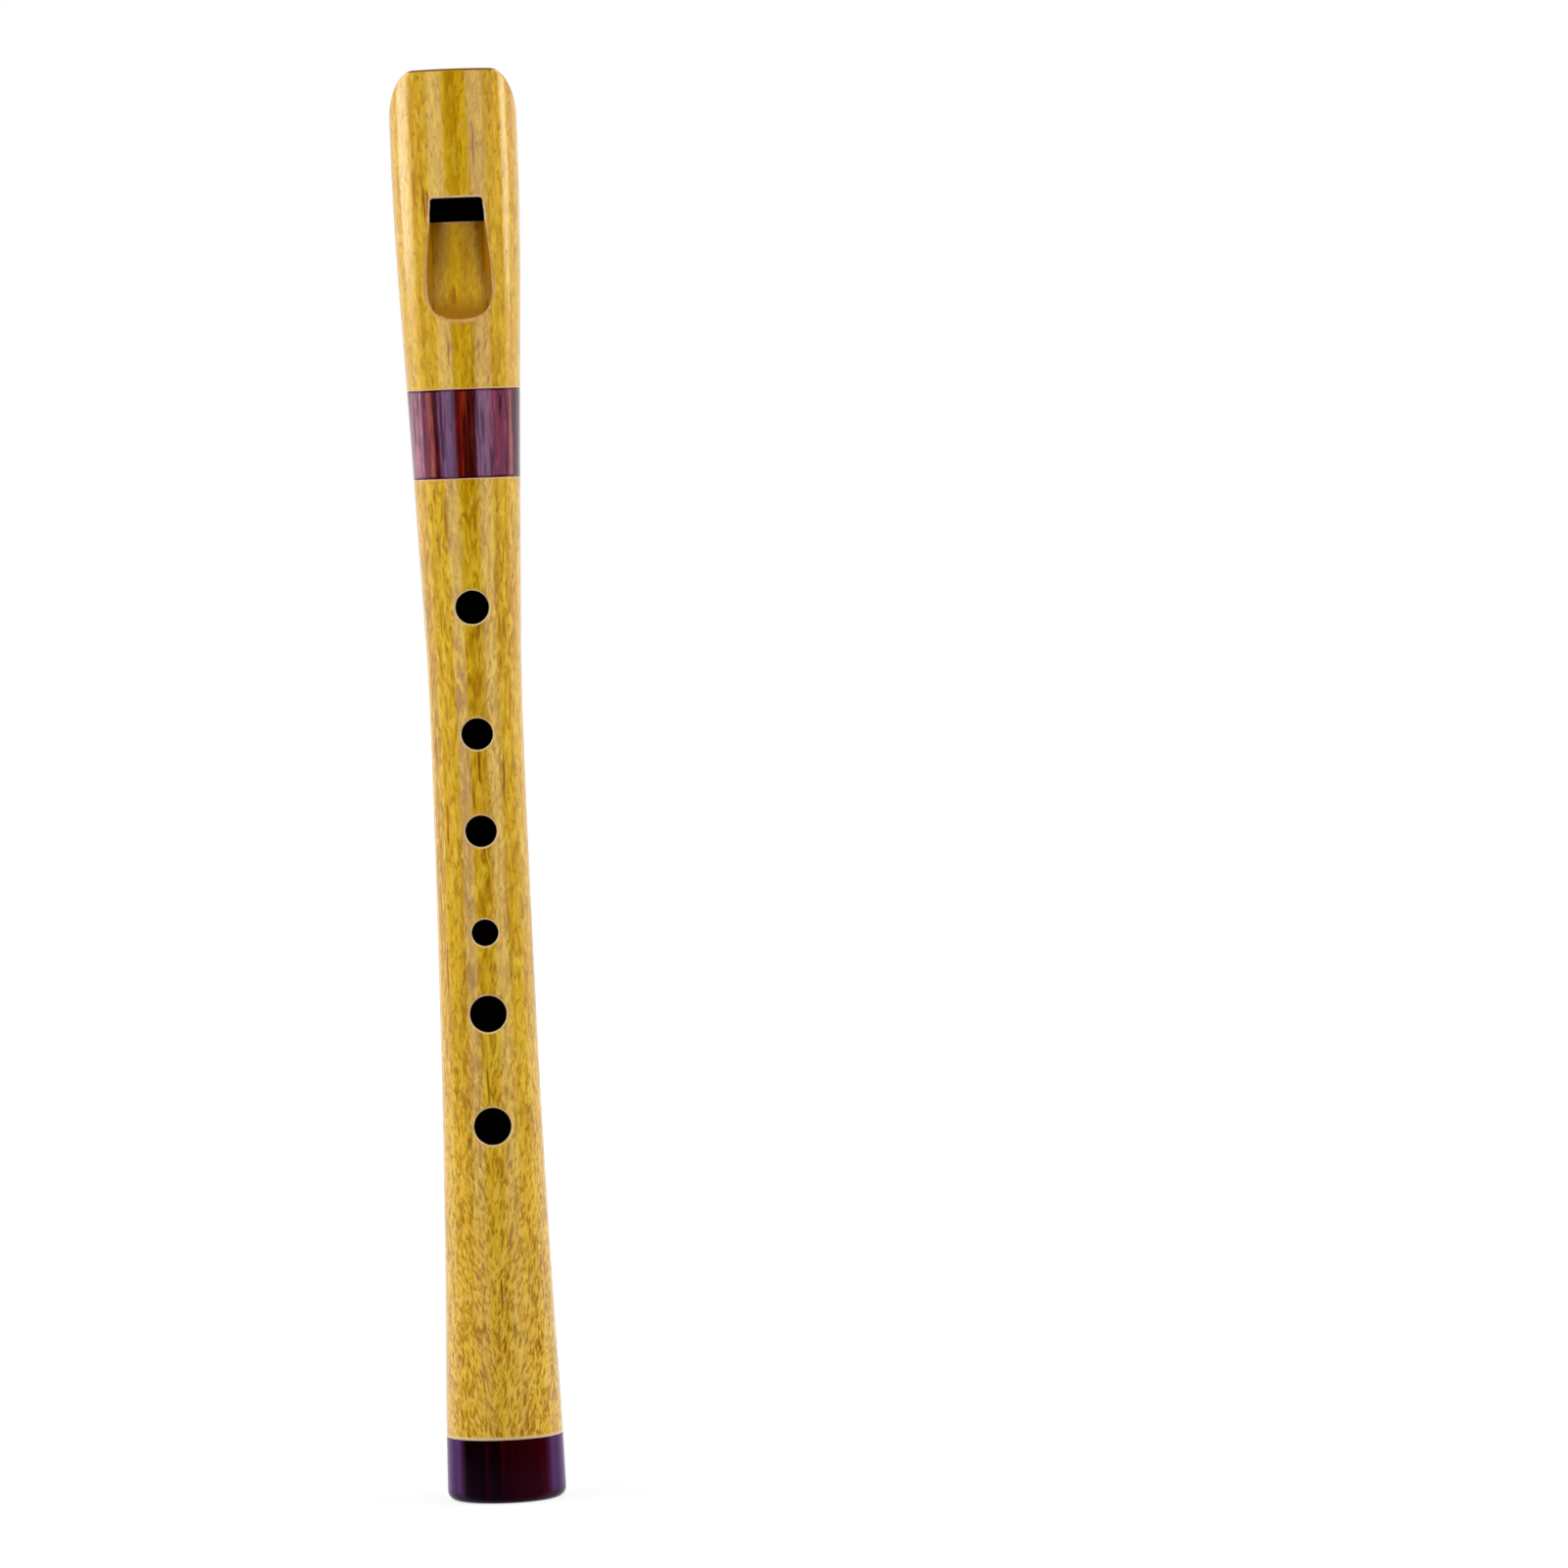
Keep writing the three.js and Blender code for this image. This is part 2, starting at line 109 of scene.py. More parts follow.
def slope_at(i):
    """Slope at a station: flat where the outline turns back, so that it never overshoots."""
    if i == 0:
        return grade(0)
    if i == len(stations) - 1:
        return grade(i - 1)
    below, above = grade(i - 1), grade(i)
    return 0 if below * above <= 0 else 2 * below * above / (below + above)


def radius_at(z):
    """Radius of the turned outline at a height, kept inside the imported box."""
    z = min(max(z, 0), HEAD_TOP)
    i = max(k for k in range(len(stations) - 1) if z >= stations[k][0])
    (z0, r0), (z1, r1) = stations[i], stations[i + 1]
    span = z1 - z0
    t = (z - z0) / span
    rise = t * t * (3 - 2 * t)
    bend = slope_at(i) * t * (1 - t) ** 2 - slope_at(i + 1) * t * t * (1 - t)
    return min(r0 + (r1 - r0) * rise + bend * span, REACH)


def outline_between(low, high, step=2 * MM):
    """(radius, height) points of the outline, both ends included."""
    count = max(round((high - low) / step), 1)
    heights = [low + (high - low) * i / count for i in range(count + 1)]
    return [(radius_at(z), z) for z in heights]


worst = max(
    math.hypot(vertex.co.x, vertex.co.y) - radius_at(vertex.co.z)
    for node in frame["nodes"].values() for vertex in node.data.vertices
)
print("packed vertices outside the curve by at most, mm:", round(worst / MM, 4))

# %% [markdown]
# A turner makes these pieces on a lathe, and `bmesh.ops.spin` is the lathe of this lesson: a closed
# profile of (radius, height) points goes once round the axis. A primitive cylinder would need its
# sides pushed about afterwards, while a spun profile holds the bore, the steps, the outline and
# the eased edges at once.

# %% The lathe
AROUND = 128
SAME_PLACE = 0.0002 * MM


def arc(centre, radius, start, end, steps):
    """Points on an arc in a plane, angles in degrees."""
    angles = [math.radians(start + (end - start) * i / steps) for i in range(steps + 1)]
    return [(centre[0] + radius * math.cos(a), centre[1] + radius * math.sin(a)) for a in angles]


def closed_up(bm):
    """Merges what lies in the same place and turns all faces outwards."""
    bmesh.ops.remove_doubles(bm, verts=bm.verts, dist=SAME_PLACE)
    bmesh.ops.recalc_face_normals(bm, faces=bm.faces)
    if bm.calc_volume(signed=True) < 0:
        bmesh.ops.reverse_faces(bm, faces=bm.faces)
    return bm


def spun(profile):
    """A solid turned about the Z axis from (radius, height) points; ends on the axis stay open."""
    bm = bmesh.new()
    verts = [bm.verts.new((r, 0, z)) for r, z in profile]
    pairs = list(zip(verts, verts[1:]))
    if profile[0][0] > 0:
        pairs.append((verts[-1], verts[0]))
    edges = [bm.edges.new(pair) for pair in pairs]
    bmesh.ops.spin(
        bm, geom=verts + edges, cent=(0, 0, 0), axis=(0, 0, 1),
        angle=math.tau, steps=AROUND, use_merge=True, use_duplicate=False,
    )
    return closed_up(bm)


def painted(bm, slot, chosen=lambda centre: True):
    """Gives the faces whose centre is chosen a material slot."""
    for face in bm.faces:
        if chosen(face.calc_center_median()):
            face.material_index = slot
    return bm


def to_object(bm, name, materials=()):
    """Moves a bmesh into a new object at the origin."""
    mesh = bpy.data.meshes.new(name)
    bm.to_mesh(mesh)
    bm.free()
    for material in materials:
        mesh.materials.append(material)
    made = bpy.data.objects.new(name, mesh)
    bpy.context.scene.collection.objects.link(made)
    return made


print("steps round the lathe:", AROUND)

# %% [markdown]
# Everything that no lathe can make starts as a grid that is bent through rows of points. Where
# the first and last row or column fall together the merge closes them, and any open end gets a
# cap, so one helper makes the windway, the ramp, the beak and the soft rims.

# %% Bent grids, prisms and drills
def sheet(rows):
    """A solid from a grid bent through equal rows of points."""
    bm = bmesh.new()
    down, across = len(rows) - 1, len(rows[0]) - 1
    bmesh.ops.create_grid(bm, x_segments=across, y_segments=down, size=1)
    for vertex in bm.verts:
        column = round((vertex.co.x + 1) / 2 * across)
        row = round((vertex.co.y + 1) / 2 * down)
        vertex.co = rows[row][column]
    bmesh.ops.remove_doubles(bm, verts=bm.verts, dist=SAME_PLACE)
    bmesh.ops.holes_fill(bm, edges=[e for e in bm.edges if e.is_boundary], sides=0)
    return closed_up(bm)


def prism(points, depth_from, depth_to):
    """A solid from an outline in (x, z), reaching along Y between two depths."""
    loop = [*points, points[0]]
    return sheet([[(x, y, z) for x, z in loop] for y in (depth_from, depth_to)])


def drill(radius, turn, height, near=3 * MM, far=18 * MM):
    """A drill that points forward at turn 0, turned about Z in degrees."""
    bm = bmesh.new()
    to_height = Matrix.Translation((0, 0, height)) @ Matrix.Rotation(math.radians(turn), 4, "Z")
    forward = Matrix.Translation((0, -(near + far) / 2, 0)) @ Matrix.Rotation(math.pi / 2, 4, "X")
    bmesh.ops.create_cone(
        bm, cap_ends=True, segments=72, radius1=radius, radius2=radius, depth=far - near,
        matrix=to_height @ forward,
    )
    return closed_up(bm)


def joined(parts):
    """Several solids that don't touch, as one bmesh."""
    whole = bmesh.new()
    for bm in parts:
        mesh = bpy.data.meshes.new("part")
        bm.to_mesh(mesh)
        bm.free()
        whole.from_mesh(mesh)
        bpy.data.meshes.remove(mesh)
    return whole


sample = prism([(0, 0), (0, 1), (1, 1), (1, 0)], 0, 1)
print("a prism of 1 x 1 x 1, faces and volume:", len(sample.faces), round(sample.calc_volume(), 6))
sample.free()

# %% [markdown]
# Holes, the window and the ramp are cut with a knife, and a Boolean modifier does the same: a
# solid in the shape of the waste is taken away. Every solid here is closed, so the manifold solver
# can be used, which leaves no open edge. Parts of one cutter must not overlap, so the two vents,
# which meet in the bore, are drilled one after the other. New faces keep the cutter's slot and can
# show another finish.

# %% The knife
SOLVER = "MANIFOLD"


def cut(piece, cutter_bm):
    """Takes a solid away from a piece, at once."""
    cutter = to_object(cutter_bm, "cutter", piece.data.materials)
    knife = piece.modifiers.new("knife", "BOOLEAN")
    knife.operation = "DIFFERENCE"
    knife.solver = SOLVER
    knife.object = cutter
    shaped = piece.evaluated_get(bpy.context.evaluated_depsgraph_get())
    mesh = bpy.data.meshes.new_from_object(shaped)
    piece.modifiers.clear()
    old, piece.data = piece.data, mesh
    for data in (old, cutter.data):
        bpy.data.meshes.remove(data)
    print(piece.name, "faces after a cut:", len(mesh.polygons))


print("solver of the knife:", SOLVER)

# %% [markdown]
# No rim on the real instrument is left sharp: each is eased with fine paper until it catches the
# light as a thin pale line. A bevel would stumble over the slivers that a Boolean leaves at a rim.
# So a rim is worked out as a chain of points with the normal of the cut wall at each, and a
# rounded moulding plane, a bent grid again, is run along the chain and cut away.

# %% Rims of drilled holes
RIM_STEP = 0.3 * MM


def outward(point):
    """Normal of the turned outline near a point."""
    lift = 0.5 * MM
    slope = (radius_at(point.z + lift) - radius_at(point.z - lift)) / (2 * lift)
    away = Vector((point.x, point.y, 0)).normalized()
    return Vector((away.x, away.y, -slope)).normalized()


def to_skin(point):
    """The place on the turned outline straight out from the axis."""
    scale = radius_at(point.z) / math.hypot(point.x, point.y)
    return Vector((point.x * scale, point.y * scale, point.z))


def hole_rim(radius, turn, height, steps=60):
    """(point, wall normal) pairs round the mouth of a drilled hole."""
    turned = Matrix.Rotation(math.radians(turn), 3, "Z")
    chain = []
    for i in range(steps):
        away = Vector((math.cos(math.tau * i / steps), 0, math.sin(math.tau * i / steps)))
        z = height + radius * away.z
        point = Vector((radius * away.x, -math.sqrt(radius_at(z) ** 2 - (radius * away.x) ** 2), z))
        chain.append((turned @ point, turned @ -away))
    return chain


def evenly(chain, step):
    """The chain again, with points at even distances; the first point comes back as the last."""
    ring = [*chain, chain[0]]
    lengths = [(b[0] - a[0]).length for a, b in zip(ring, ring[1:])]
    count = round(sum(lengths) / step)
    spacing = sum(lengths) / count
    even, k, passed = [], 0, 0.0
    for i in range(count):
        while passed + lengths[k] < i * spacing:
            passed += lengths[k]
            k += 1
        t = (i * spacing - passed) / lengths[k]
        even.append(tuple(a.lerp(b, t) for a, b in zip(ring[k], ring[k + 1])))
    return [*even, even[0]]


SAMPLE_HOLE, SAMPLE_EASE = (4 * MM, 0, WAIST_Z), 0.4 * MM
print("points round the rim of an 8 mm hole:", len(evenly(hole_rim(*SAMPLE_HOLE), RIM_STEP)) - 1)


# %% Run a rounded plane along a rim
def moulding(chain, width, steps=4):
    """Waste between a rim and its rounded edge, width across on the surface."""
    rows = []
    for place, wall in evenly(chain, RIM_STEP):
        point, side = to_skin(place), wall.normalized()
        top = outward(point)
        angle = top.angle(side)
        radius = width / math.tan(angle / 2)
        centre = point - (top + side) * radius / (1 + top.dot(side))
        round_edge = [centre + top.slerp(side, i / steps) * radius for i in range(steps + 1)]
        clear = width * 0.6
        outer = [round_edge[-1] + side * clear, point + (top + side) * clear, round_edge[0] + top * clear]
        rows.append([*round_edge, *outer, round_edge[0]])
    return sheet(rows)


def ease(piece, width, slot_at, chains):
    """Rounds the rims of a piece; slot_at(place) is the slot of the new surface."""
    waste = joined(moulding(chain, width) for chain in chains)
    for face in waste.faces:
        face.material_index = slot_at(face.calc_center_median())
    cut(piece, waste)
    print(piece.name, "rims eased:", len(chains))


def dressed(piece, body, slot_name, *nodes):
    """Smooth shading for a finished piece, and its place in the frame."""
    for polygon in piece.data.polygons:
        polygon.use_smooth = True
    piece.data.set_sharp_from_angle(angle=math.radians(35))
    even = piece.modifiers.new("even_normals", "WEIGHTED_NORMAL")
    even.keep_sharp = True
    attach(piece, body)
    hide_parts(*nodes)
    triangles = sum(len(p.vertices) - 2 for p in piece.data.polygons)
    print(piece.name, "triangles:", triangles)


sample = moulding(hole_rim(*SAMPLE_HOLE), SAMPLE_EASE)
print("waste at the rim of such a hole, mm3:", round(sample.calc_volume() / MM ** 3, 3))
sample.free()

# %% [markdown]
# Colours are written as they look on screen and turned into the linear values that Cycles adds
# up. A small helper makes nodes and joins them, so that each finish below reads like a recipe.

# %% Colours
def shade(red, green, blue):
    """A screen colour of 0 to 255 as a linear RGBA."""
    def linear(value):
        value /= 255
        return value / 12.92 if value <= 0.04045 else ((value + 0.055) / 1.055) ** 2.4

    return (linear(red), linear(green), linear(blue), 1)


BLACK, WHITE = shade(0, 0, 0), shade(255, 255, 255)
print("middle grey on screen is, in linear values:", round(shade(128, 128, 128)[0], 3))


# %% Nodes and recipes
class Nodes:
    """Short calls that make nodes in one tree and join them."""

    def __init__(self, tree):
        self.tree = tree

    def node(self, kind, inputs=None, **settings):
        made = self.tree.nodes.new(kind)
        for key, value in settings.items():
            setattr(made, key, value)
        for key, value in (inputs or {}).items():
            self.feed(made.inputs[key], value)
        return made

    def feed(self, socket, value):
        """Links another socket to this one, or sets its value."""
        if isinstance(value, bpy.types.NodeSocket):
            self.tree.links.new(value, socket)
        else:
            socket.default_value = value

    def maths(self, operation, *values):
        return self.node("ShaderNodeMath", dict(enumerate(values)), operation=operation).outputs[0]

    def length(self, vector):
        return self.node("ShaderNodeVectorMath", {0: vector}, operation="LENGTH").outputs["Value"]

    def scaled(self, vector, x, y, z):
        return self.node("ShaderNodeMapping", {"Vector": vector, "Scale": (x, y, z)}).outputs["Vector"]

    def noise(self, vector, detail=2.0, rough=0.5, distortion=0.0):
        made = self.node(
            "ShaderNodeTexNoise",
            {"Vector": vector, "Scale": 1.0, "Detail": detail, "Roughness": rough, "Distortion": distortion},
        )
        return made.outputs["Fac"]

    def ramp(self, value, stops):
        """A colour ramp through (position, colour) stops."""
        made = self.node("ShaderNodeValToRGB", {"Fac": value})
        elements = made.color_ramp.elements
        while len(elements) < len(stops):
            elements.new(0.5)
        for element, (position, colour) in zip(elements, stops):
            element.position = position
            element.color = colour
        return made.outputs["Color"]

    def level(self, value, low, high, to_low=0.0, to_high=1.0):
        """Maps a range to another, clamped."""
        inputs = {"Value": value, "From Min": low, "From Max": high, "To Min": to_low, "To Max": to_high}
        return self.node("ShaderNodeMapRange", inputs).outputs["Result"]

    def mix(self, factor, first, second, blend="MIX"):
        made = self.node("ShaderNodeMix", data_type="RGBA", blend_type=blend)
        for socket, value in ((made.inputs[0], factor), (made.inputs[6], first), (made.inputs[7], second)):
            self.feed(socket, value)
        return made.outputs[2]


class Recipe(Nodes):
    """A finish: one node material, with Object coordinates as place, x, y and z."""

    def __init__(self, name):
        self.material = bpy.data.materials.new(name)
        self.material.use_nodes = True
        super().__init__(self.material.node_tree)
        self.shader = self.tree.nodes["Principled BSDF"]
        self.place = self.node("ShaderNodeTexCoord").outputs["Object"]
        self.x, self.y, self.z = self.node("ShaderNodeSeparateXYZ", {0: self.place}).outputs

    def stretched(self, across, along):
        """Object coordinates in waves per metre, across the grain and along it."""
        return self.scaled(self.place, across, across, along)

    def bump(self, height, strength, distance):
        inputs = {"Height": height, "Strength": strength, "Distance": distance}
        return self.node("ShaderNodeBump", inputs).outputs["Normal"]

    def finish(self, **sockets):
        """Sets the shader's sockets; names use underscores for spaces."""
        for key, value in sockets.items():
            self.feed(self.shader.inputs[key.replace("_", " ")], value)
        print(self.material.name, "nodes:", len(self.tree.nodes))
        return self.material


print("short calls in a recipe:", [name for name in dir(Recipe) if not name.startswith("_")])

# %% [markdown]
# The golden wood has figure at several scales: ribbons that run the whole length, wavy squiggles a
# few millimetres long, dark streaks in the middle of the front, and short pores that crowd
# together towards the foot, where they lean outwards on both sides like a herringbone. All are
# noise that is stretched along the grain. They read Object coordinates, so they run on unbroken
# over head and body. The lacquer is the shader's own gloss.

# %% Ribbons, squiggles and streaks
RIBBON_WAVES = 330


def ribbon_tint(r):
    """Broad ribbons of deeper and lighter gold."""
    ribbons = r.noise(r.stretched(RIBBON_WAVES, 3.5), distortion=0.3)
    clouds = r.noise(r.stretched(90, 30))
    tint = r.ramp(ribbons, [
        (0.33, shade(196, 138, 0)),
        (0.44, shade(212, 158, 2)),
        (0.54, shade(232, 182, 6)),
        (0.64, shade(220, 166, 30)),
        (0.74, shade(202, 146, 2)),
    ])
    return r.mix(r.level(clouds, 0.35, 0.7, 0.0, 0.35), tint, shade(240, 194, 16))


def squiggled(r, tint, strength):
    """Wavy marks, dark and bright, a few millimetres long."""
    squiggles = r.noise(r.stretched(680, 150), rough=0.6, distortion=1.4)
    faint = r.maths("MULTIPLY", r.level(squiggles, 0.34, 0.49, 0.62, 0.0), strength)
    bright = r.maths("MULTIPLY", r.level(squiggles, 0.52, 0.64, 0.0, 0.65), strength)
    return r.mix(bright, r.mix(faint, tint, shade(156, 102, 0)), shade(250, 212, 64))


def streaked(r, tint):
    """Dark streaks in the middle of the front, on the body between the lowest hole and the ring."""
    streaks = r.noise(r.stretched(700, 42))
    middle = r.level(r.maths("ABSOLUTE", r.x), 0.4 * MM, 2.8 * MM, 1.0, 0.0)
    on_body = r.ramp(r.z, [(0.09, BLACK), (0.12, WHITE), (0.245, WHITE), (0.27, BLACK)])
    crack = r.maths("MULTIPLY_ADD", r.maths("MULTIPLY", middle, on_body), 0.095, streaks)
    return r.mix(r.level(crack, 0.65, 0.72, 0.0, 0.85), tint, shade(150, 74, 0))


print("a ribbon is about this wide, in mm:", round(1 / RIBBON_WAVES / MM, 1))

# %% Pores and the whole figure
PORE_LEAN = 0.30


def leaning_noise(r, lean):
    """Fine marks that lean to one side as they rise."""
    moved = r.maths("MULTIPLY_ADD", r.z, -lean, r.x)
    place = r.node("ShaderNodeCombineXYZ", {0: moved, 1: r.y, 2: r.z}).outputs[0]
    return r.noise(r.scaled(place, 1500, 1500, 430), detail=1, distortion=0.5)


def herringbone(r):
    """Fine marks that lean outwards on both sides of the middle."""
    left, right = leaning_noise(r, -PORE_LEAN), leaning_noise(r, PORE_LEAN)
    share = r.level(r.x, -3.0 * MM, 1.0 * MM)
    return r.maths("MULTIPLY_ADD", r.maths("SUBTRACT", right, left), share, left)


def dashed(r, tint, pores, crowd):
    """Dark and pale dashes, more of both where they crowd."""
    dark = r.level(r.maths("ADD", pores, crowd), 0.58, 0.69, 0.0, 0.62)
    pale = r.level(r.maths("SUBTRACT", pores, crowd), 0.38, 0.28, 0.0, 0.42)
    return r.mix(pale, r.mix(dark, tint, shade(150, 88, 0)), shade(252, 212, 124))


def golden_figure(r):
    """Colour of the golden wood, and the height of its pores."""
    low_down = r.level(r.z, 50 * MM, 140 * MM, 1.0, 0.0)
    pores = herringbone(r)
    tan = r.mix(r.maths("MULTIPLY", low_down, 0.62), ribbon_tint(r), shade(254, 202, 62))
    marked = squiggled(r, tan, r.level(r.z, BODY_TOP, RING_TOP, 1.0, 0.6))
    fibres = r.noise(r.stretched(1900, 260), detail=1, distortion=0.6)
    fine = r.mix(r.level(fibres, 0.32, 0.5, 0.28, 0.0), marked, shade(150, 92, 0))
    crowded = dashed(r, fine, pores, r.level(low_down, 0.0, 1.0, -0.03, 0.072))
    # Partly bare wood and partly a painted highlight: a pale line just above the foot ring, for the light on
    # its eased seam.
    pale_seam_and_highlight = r.level(r.z, FOOT_TOP + 1.0 * MM, FOOT_TOP + 0.7 * MM, 0.0, 0.75)
    return r.mix(pale_seam_and_highlight, streaked(r, crowded), shade(238, 208, 158)), pores


print("pores lean by degrees:", round(math.degrees(math.atan(PORE_LEAN)), 1))

# %% Golden wood, outside and cut
LACQUER_ROUGHNESS = 0.17
WINDOW_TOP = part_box("block")[0].z
WINDOW_HEIGHT = 5.7 * MM
LABIUM_Z = WINDOW_TOP - WINDOW_HEIGHT
print("labium at mm:", round(LABIUM_Z / MM, 2))


def golden_wood():
    r = Recipe("golden_wood")
    colour, pores = golden_figure(r)
    return r.finish(
        Base_Color=colour, Roughness=LACQUER_ROUGHNESS, Specular_IOR_Level=0.5,
        Normal=r.bump(pores, 0.08, 0.1 * MM),
    )


def cut_wood():
    """The ramp and the end grain: the same wood, deeper, and browner towards walls and scoop as painted
    shade.
    """
    r = Recipe("cut_wood")
    deeper = r.mix(0.3, golden_figure(r)[0], shade(190, 134, 4))
    # Painted shade: the ramp's side walls and its scoop turn browner, for the shade they lie in.
    wall = r.level(r.maths("ABSOLUTE", r.x), 6.0 * MM, 6.4 * MM, 0.0, 0.85)
    scoop = r.level(r.z, LABIUM_Z - 17.5 * MM, LABIUM_Z - 22 * MM, 0.0, 0.9)
    with_wall_shade = r.mix(r.maths("MAXIMUM", wall, scoop), deeper, shade(160, 104, 4))
    end_grain = r.level(r.z, HEAD_TOP - 0.8 * MM, HEAD_TOP - 0.5 * MM)
    browner = r.mix(end_grain, with_wall_shade, shade(128, 88, 20))
    return r.finish(Base_Color=browner, Roughness=0.4, Specular_IOR_Level=0.12)


def beak_wood():
    """The cut behind the mouth end: oiled end grain, orange-brown, and lilac-brown painted shade at the
    heel.
    """
    r = Recipe("beak_wood")
    flame = r.noise(r.stretched(90, 60))
    fibre = r.noise(r.stretched(1500, 500))
    tint = r.ramp(flame, [
        (0.36, shade(186, 122, 40)),
        (0.5, shade(176, 104, 52)),
        (0.62, shade(190, 82, 28)),
    ])
    # Painted shade and reflection: the heel of the beak's cut turns lilac-brown.
    heel = r.level(r.z, HEAD_TOP - 14 * MM, HEAD_TOP - 18.5 * MM, 0.0, 0.85)
    shaded = r.mix(heel, tint, shade(140, 96, 100))
    grained = r.mix(r.level(fibre, 0.34, 0.5, 0.45, 0.0), shaded, shade(112, 58, 30))
    return r.finish(Base_Color=grained, Roughness=0.4, Specular_IOR_Level=0.3)


GOLD, CUT, BEAK = golden_wood(), cut_wood(), beak_wood()

# %% [markdown]
# The socket ring is cut across the growth of its log, so it shows red-brown heartwood with black
# lines between purple, mauve and pale sapwood. A colour ramp across the ring holds these bands, and
# noise makes them wander. The foot is darker, with a painted violet sheen of its lacquer.

# %% Growth bands of the socket ring, in millimetres from the middle
PINK, ROSE, PLUM = shade(172, 116, 134), shade(166, 90, 86), shade(110, 58, 86)
PURPLE, LILAC, MAUVE = shade(100, 64, 103), shade(121, 79, 110), shade(123, 60, 86)
MAROON, RED, BLACK_LINE = shade(92, 11, 8), shade(135, 38, 14), shade(42, 0, 6)
GROWTH_BANDS = [
    (-14.0, -10.8, PINK),
    (-10.2, -9.6, PLUM),
    (-9.1, -8.2, ROSE),
    (-7.5, -6.6, BLACK_LINE),
    (-6.1, -3.4, PURPLE),
    (-2.8, -1.7, MAROON),
    (-1.2, 0.7, RED),
    (1.2, 2.8, BLACK_LINE),
    (3.3, 6.0, LILAC),
    (7.4, 10.4, MAUVE),
    (11.1, 11.3, ROSE),
    (11.7, 12.8, BLACK_LINE),
    (13.3, 14.0, PLUM),
]


def growth_bands(r, side):
    """Bands across the grain; between two of them the tones run into each other."""
    low, high = GROWTH_BANDS[0][0], GROWTH_BANDS[-1][1]
    across = r.level(side, low * MM, high * MM)
    ends = [(place, tone) for start, end, tone in GROWTH_BANDS for place in (start, end)]
    return r.ramp(across, [((place - low) / (high - low), tone) for place, tone in ends])


print("growth bands:", len(GROWTH_BANDS))


# %% Dark red wood for the rings
def ring_wood():
    """Growth bands, fine lines, pale wisps; plainer flanks as painted reflection, dark ends as painted
    shade.
    """
    r = Recipe("dark_ring_wood")
    streaks = r.noise(r.stretched(430, 8), rough=0.55, distortion=0.3)
    lines = r.noise(r.stretched(1100, 22), rough=0.6, distortion=0.5)
    wisps = r.noise(r.stretched(900, 120), rough=0.6, distortion=0.7)
    banded = growth_bands(r, r.maths("ADD", r.x, r.level(streaks, 0.3, 0.7, -0.5 * MM, 0.5 * MM)))
    tint = r.ramp(streaks, [
        (0.37, shade(56, 0, 4)),
        (0.45, shade(118, 18, 6)),
        (0.50, shade(158, 70, 48)),
        (0.54, shade(96, 4, 4)),
        (0.64, shade(146, 82, 92)),
    ])
    # Painted reflection: the front flanks get a plainer mauve, for the lacquer's reflection that washes the
    # bands out there.
    aside = r.level(r.maths("ABSOLUTE", r.x), 9.5 * MM, 11.5 * MM)
    flank_reflection = r.maths("MULTIPLY", aside, r.level(r.y, -5 * MM, -2 * MM))
    both = r.mix(0.8, tint, r.mix(flank_reflection, banded, shade(112, 60, 78)))
    lined = r.mix(r.level(lines, 0.40, 0.48, 0.8, 0.0), both, shade(40, 0, 6))
    wispy = r.mix(r.level(wisps, 0.52, 0.64, 0.0, 0.6), lined, shade(255, 236, 240), blend="OVERLAY")
    # Painted shade: a dark line at both ends of the ring, for the shadow at its seams with the golden wood.
    lower = r.level(r.z, BODY_TOP + 0.65 * MM, BODY_TOP + 0.4 * MM, 0.0, 0.9)
    upper = r.level(r.z, RING_TOP - 0.65 * MM, RING_TOP - 0.4 * MM, 0.0, 0.9)
    return r.finish(
        Base_Color=r.mix(r.maths("MAXIMUM", lower, upper), wispy, shade(72, 0, 2)),
        Roughness=0.15, Specular_IOR_Level=0.36, Specular_Tint=shade(230, 206, 255),
    )


def foot_wood():
    """Nearly black maroon, wine red behind, with a painted violet sheen where it is seen at a flat angle."""
    r = Recipe("dark_foot_wood")
    streaks = r.noise(r.stretched(240, 10), rough=0.6)
    tint = r.ramp(streaks, [(0.44, shade(6, 0, 0)), (0.56, shade(20, 0, 1)), (0.68, shade(52, 0, 6))])
    warm = r.mix(r.level(r.x, 0.8 * MM, 3 * MM, 0.0, 0.4), tint, shade(64, 0, 6))
    wine = r.ramp(streaks, [
        (0.38, shade(104, 42, 62)),
        (0.5, shade(130, 62, 86)),
        (0.62, shade(150, 86, 106)),
    ])
    behind = r.mix(r.level(r.y, -3 * MM, 11 * MM), warm, wine)
    # Painted sheen: a violet tint mixed into the base colour where the surface is seen at a flat angle,
    # faded out near the bottom edge.
    flat = r.node("ShaderNodeLayerWeight", {"Blend": 0.5}).outputs["Facing"]
    glancing = r.ramp(flat, [
        (0.27, BLACK),
        (0.33, shade(130, 130, 130)),
        (0.40, shade(225, 225, 225)),
        (0.50, shade(180, 180, 180)),
        (0.75, shade(245, 245, 245)),
    ])
    painted_sheen = r.maths("MULTIPLY", glancing, r.level(r.z, 0.9 * MM, 3.0 * MM, 0.05, 1.0))
    return r.finish(
        Base_Color=r.mix(painted_sheen, behind, shade(98, 58, 122)),
        Roughness=0.16, Specular_IOR_Level=0.06, Specular_Tint=shade(200, 150, 255),
    )


RING, FOOT = ring_wood(), foot_wood()

# %% Red wood for the block
CHAMBER = 10.2 * MM
SEAT = CHAMBER + 0.35 * MM
BLOCK_RADIUS = SEAT - 0.12 * MM


